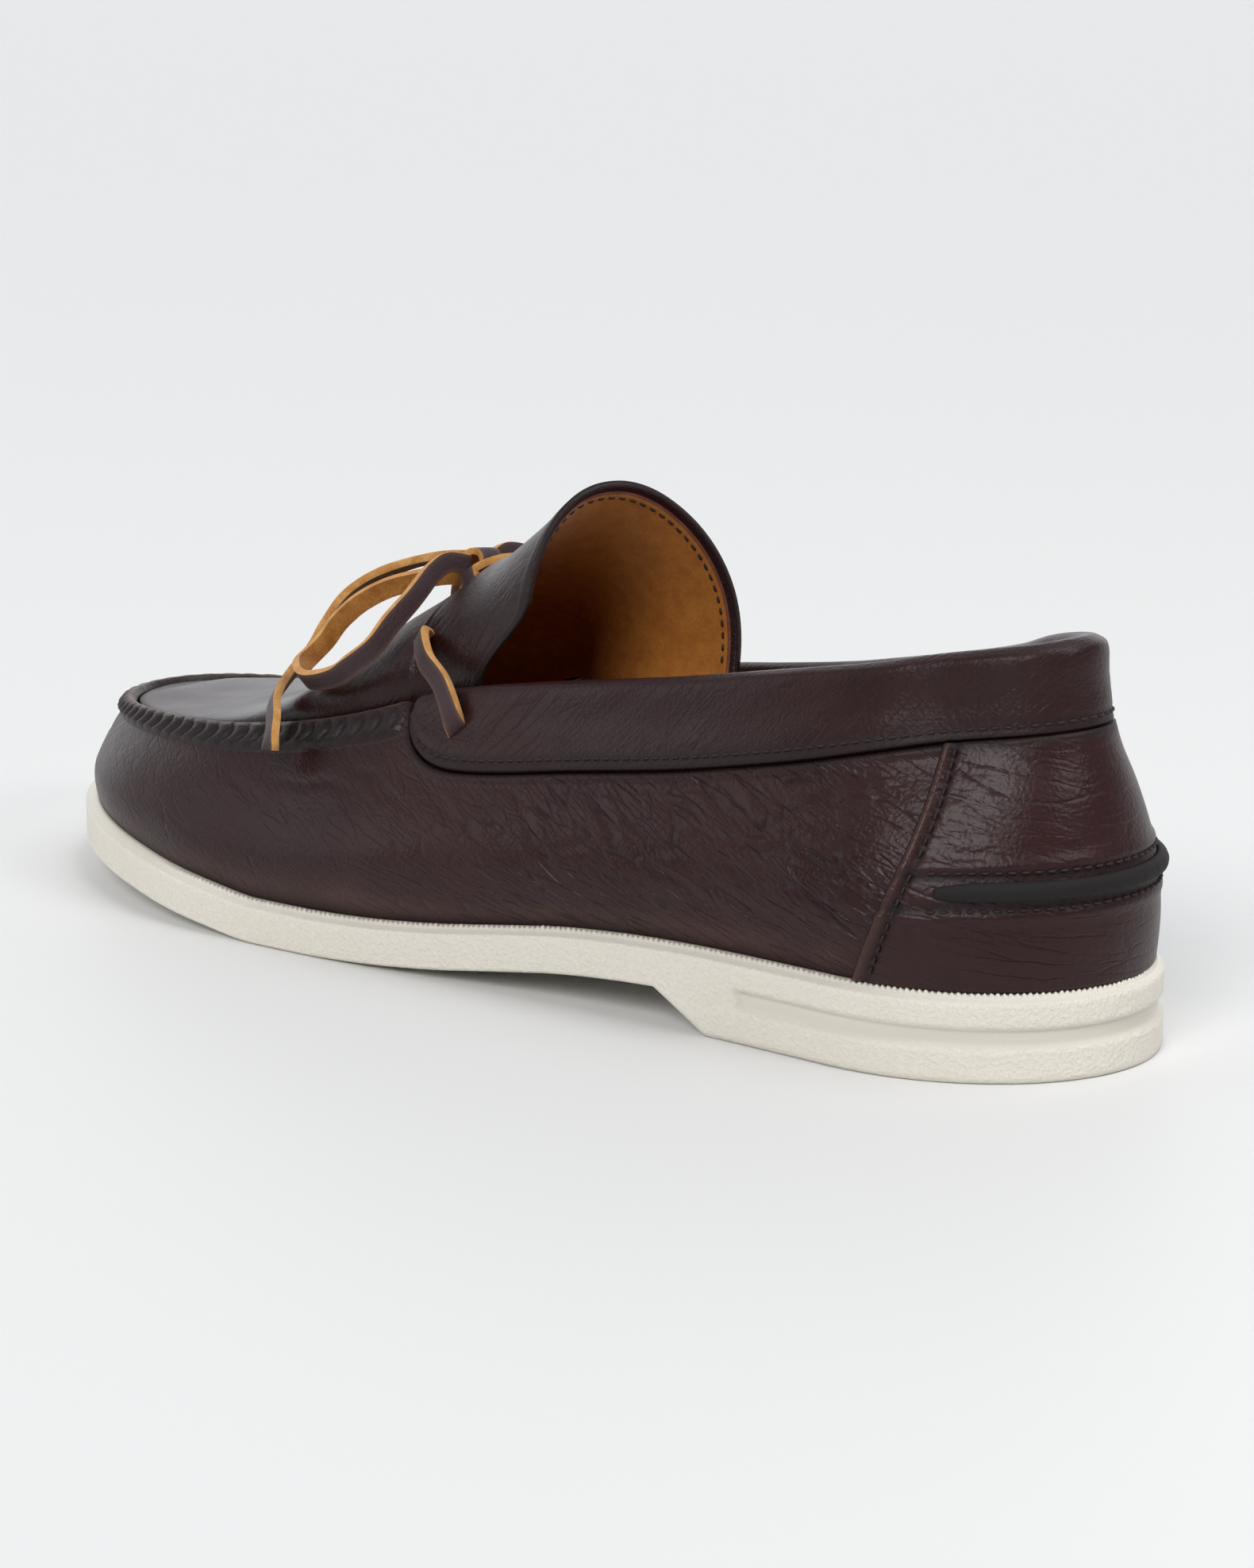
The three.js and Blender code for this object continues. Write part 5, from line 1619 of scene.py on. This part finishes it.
# Sections of the footbed's rounded edge: distance in from the wall, share of its thickness
INSOLE_EDGE = ((0.0, 0.0), (0.0, 0.8), (0.3, 0.95), (0.8, 1.0))


def make_footbed():
    turns = np.linspace(0, 2 * math.pi, 240, endpoint=False)
    inset = LEDGE_WIDTH + WALL + 2 * CLEARANCE
    base = sole_rim(along_of(turns)) + LEDGE_RISE + 2 * CLEARANCE
    edge = [sole_row(turns, -inset - out, base + INSOLE_THICKNESS * lift) for out, lift in INSOLE_EDGE]
    below = [drawn_in(turns, edge[0], share) for share in (0.0, 0.5)]
    above = [drawn_in(turns, edge[-1], share) for share in (0.7, 0.35, 0.0)]
    rows = np.array(below + edge + above)
    faces = outward_faces(rows, grid_faces(len(rows), len(turns), wrap_columns=True))
    footbed = make_mesh("footbed", rows, faces, (tan_lining,), None, {"shade": np.full(rows.shape[:2], 0.55)})
    fixed(footbed, "lining", "insole")


make_outsole()
make_footbed()


# Stitches

STITCH_RINGS = 7
STITCH_SIDES = 6
STITCH_END_QUADS = np.array([(0, 3, 2, 1), (0, 5, 4, 3)])
SUNK_STITCH = 0.25
SEAM_STITCH_TURN = math.radians(SEAM_STITCH_GAP / DEGREE_LENGTH)
TONGUE_STITCH_AT = 0.4585
TONGUE_STITCH_ACROSS = 0.93


def stitch_row(name, path, out):
    """Row of short threads lying along a path; out is the surface's outward direction there."""
    run = run_length(path)
    count = max(2, int(run[-1] / STITCH_PITCH))
    middles = (np.arange(count) + 0.5) * run[-1] / count
    sample = np.linspace(-0.5, 0.5, STITCH_RINGS)
    spots = np.clip(middles[:, None] + sample[None, :] * STITCH_LENGTH, 0, run[-1])
    way = unit(np.gradient(path, axis=0))
    centre, lift, along = (
        np.stack([np.interp(spots, run, values[:, k]) for k in range(3)], axis=-1)
        for values in (path, out, way)
    )
    lift = unit(lift - (lift * along).sum(-1, keepdims=True) * along)
    side = np.cross(along, lift)
    arch = THREAD_RADIUS * (0.9 * (1 - (2 * sample) ** 2) - SUNK_STITCH)
    girth = THREAD_RADIUS * np.sqrt(np.clip(1 - (1.96 * sample) ** 6, 0.12, 1))
    swing = np.linspace(0, 2 * math.pi, STITCH_SIDES, endpoint=False)
    up = arch[None, :, None] + girth[None, :, None] * np.sin(swing)[None, None, :]
    aside = girth[None, :, None] * np.cos(swing)[None, None, :]
    rings = centre[:, :, None, :] + lift[:, :, None, :] * up[..., None]
    rings = rings + side[:, :, None, :] * aside[..., None]
    one = closed_tube(rings[0], STITCH_END_QUADS)
    faces = np.concatenate([one + i * STITCH_RINGS * STITCH_SIDES for i in range(count)])
    fixed(make_mesh(name, rings, faces, (thread,), None, paint(rings)), "leather")


def wall_stitches(name, turns, up, out):
    stitch_row(name, off_last(turns, up, out), last_outward(turns, up))


def collar_stitches():
    turns = np.linspace(-BAND_END * 0.985, BAND_END * 0.985, LINE_STEPS) % (2 * math.pi)
    seam = smooth(COLLAR_SEAM, "up", along_of(turns)) + seam_gap(turns)
    wall_stitches("collar_stitches", turns, seam + (1 - seam) * BAND_STITCH_SHARE, COLLAR_PROUD - SUNK_STITCH)


def counter_stitches(name, side):
    rise = np.linspace(0.04, 0.985, 120)
    turns = (side * (counter_limit(rise * COUNTER_TOP_UP) - SEAM_STITCH_TURN)) % (2 * math.pi)
    wall_stitches(name, turns, rise * quarter_top(turns), CLEARANCE + COUNTER_THICKNESS - 0.05)


def strip_stitches(name, side):
    turns = (np.linspace(-1, 1, 200) * (turn_of(STRIP_END) + 0.02)) % (2 * math.pi)
    up = STRIP_UP + side * STRIP_LIP_GAP / (top_point(turns)[:, 2] - feather(turns)[:, 2])
    wall_stitches(name, turns, up, CLEARANCE + COUNTER_THICKNESS + 0.1)


def tongue_stitches():
    across = np.linspace(-TONGUE_STITCH_ACROSS, TONGUE_STITCH_ACROSS, 200)
    at = np.full_like(across, TONGUE_STITCH_AT)
    _, out = tongue_ways(at, across)
    path = tongue_point(at, across) - out * (TONGUE_THICKNESS - 0.1)
    stitch_row("tongue_stitches_inside", path, -out)


collar_stitches()
counter_stitches("counter_stitches_outer", 1)
counter_stitches("counter_stitches_inner", -1)
strip_stitches("strip_stitches_above", 1)
strip_stitches("strip_stitches_below", -1)
tongue_stitches()


# Studio: pale floor and soft light

FLOOR_REACH = 20.0
FLOOR_COLOR = (0.80, 0.80, 0.795, 1.0)
SKY_COLOR = (0.95, 0.97, 1.0, 1.0)


def make_floor():
    look = {"Base_Color": FLOOR_COLOR, "Roughness": 0.55, "Specular_IOR_Level": 0.25}
    material = new_material("studio_floor", **look)[0]
    corners = [(FLOOR_REACH * x, FLOOR_REACH * y, 0) for x, y in ((-1, -1), (1, -1), (1, 1), (-1, 1))]
    mesh = bpy.data.meshes.new("floor")
    mesh.from_pydata(corners, [], [(0, 1, 2, 3)])
    mesh.materials.append(material)
    floor = bpy.data.objects.new("floor", mesh)
    bpy.context.scene.collection.objects.link(floor)


def area_light(name, place, target, size, watts):
    data = bpy.data.lights.new(name, "AREA")
    data.shape = "RECTANGLE"
    data.size, data.size_y = size
    data.energy = watts
    light = bpy.data.objects.new(name, data)
    light.location = place
    light.rotation_euler = (Vector(place) - Vector(target)).to_track_quat("Z", "Y").to_euler()
    bpy.context.scene.collection.objects.link(light)


def soft_sun(name, lean, strength, width):
    """Wide soft light from far away; lean points from the shoe to the light."""
    data = bpy.data.lights.new(name, "SUN")
    data.energy = strength
    data.angle = math.radians(width)
    light = bpy.data.objects.new(name, data)
    light.rotation_euler = Vector(lean).to_track_quat("Z", "Y").to_euler()
    bpy.context.scene.collection.objects.link(light)


def make_sky():
    """World that is bright above and on the far side, and darkest behind the camera."""
    world = bpy.data.worlds.new("studio")
    bpy.context.scene.world = world
    world.use_nodes = True
    sky = world.node_tree
    direction = sky.nodes.new("ShaderNodeTexCoord").outputs["Generated"]
    height = add_node(sky, "ShaderNodeSeparateXYZ", {"Vector": direction}).outputs["Z"]
    to_camera = (-math.sin(CAMERA_TURN), math.cos(CAMERA_TURN), 0.0)
    behind = add_node(
        sky, "ShaderNodeVectorMath", {0: direction, 1: to_camera}, operation="DOT_PRODUCT"
    ).outputs["Value"]
    above = map_range(sky, height, 0.15, 0.75, 0.25, 0.55)
    near_dim = math_node(sky, "MULTIPLY", above, map_range(sky, behind, -0.3, 0.6, 1.0, 0.15))
    far_side = map_range(sky, behind, -0.45, -0.9, 0.0, 1.35)
    far_glow = math_node(sky, "MULTIPLY", far_side, map_range(sky, height, 0.6, 0.3))
    background = sky.nodes["Background"]
    background.inputs["Color"].default_value = SKY_COLOR
    sky.links.new(math_node(sky, "ADD", near_dim, far_glow), background.inputs["Strength"])


make_floor()
soft_sun("overhead", (-0.30, -0.25, 1.0), 0.95, 40.0)
soft_sun("key", (-0.30, 0.80, 0.62), 1.55, 28.0)
area_light("toe_side", (0.9, 0.9, 0.5), (0.03, 0, 0.05), (0.5, 0.7), 2.0)
area_light("heel_side", (-0.85, -0.08, 0.62), (-0.01, 0, 0.08), (0.25, 0.25), 2.0)
make_sky()
bpy.context.scene.view_settings.view_transform = "Standard"
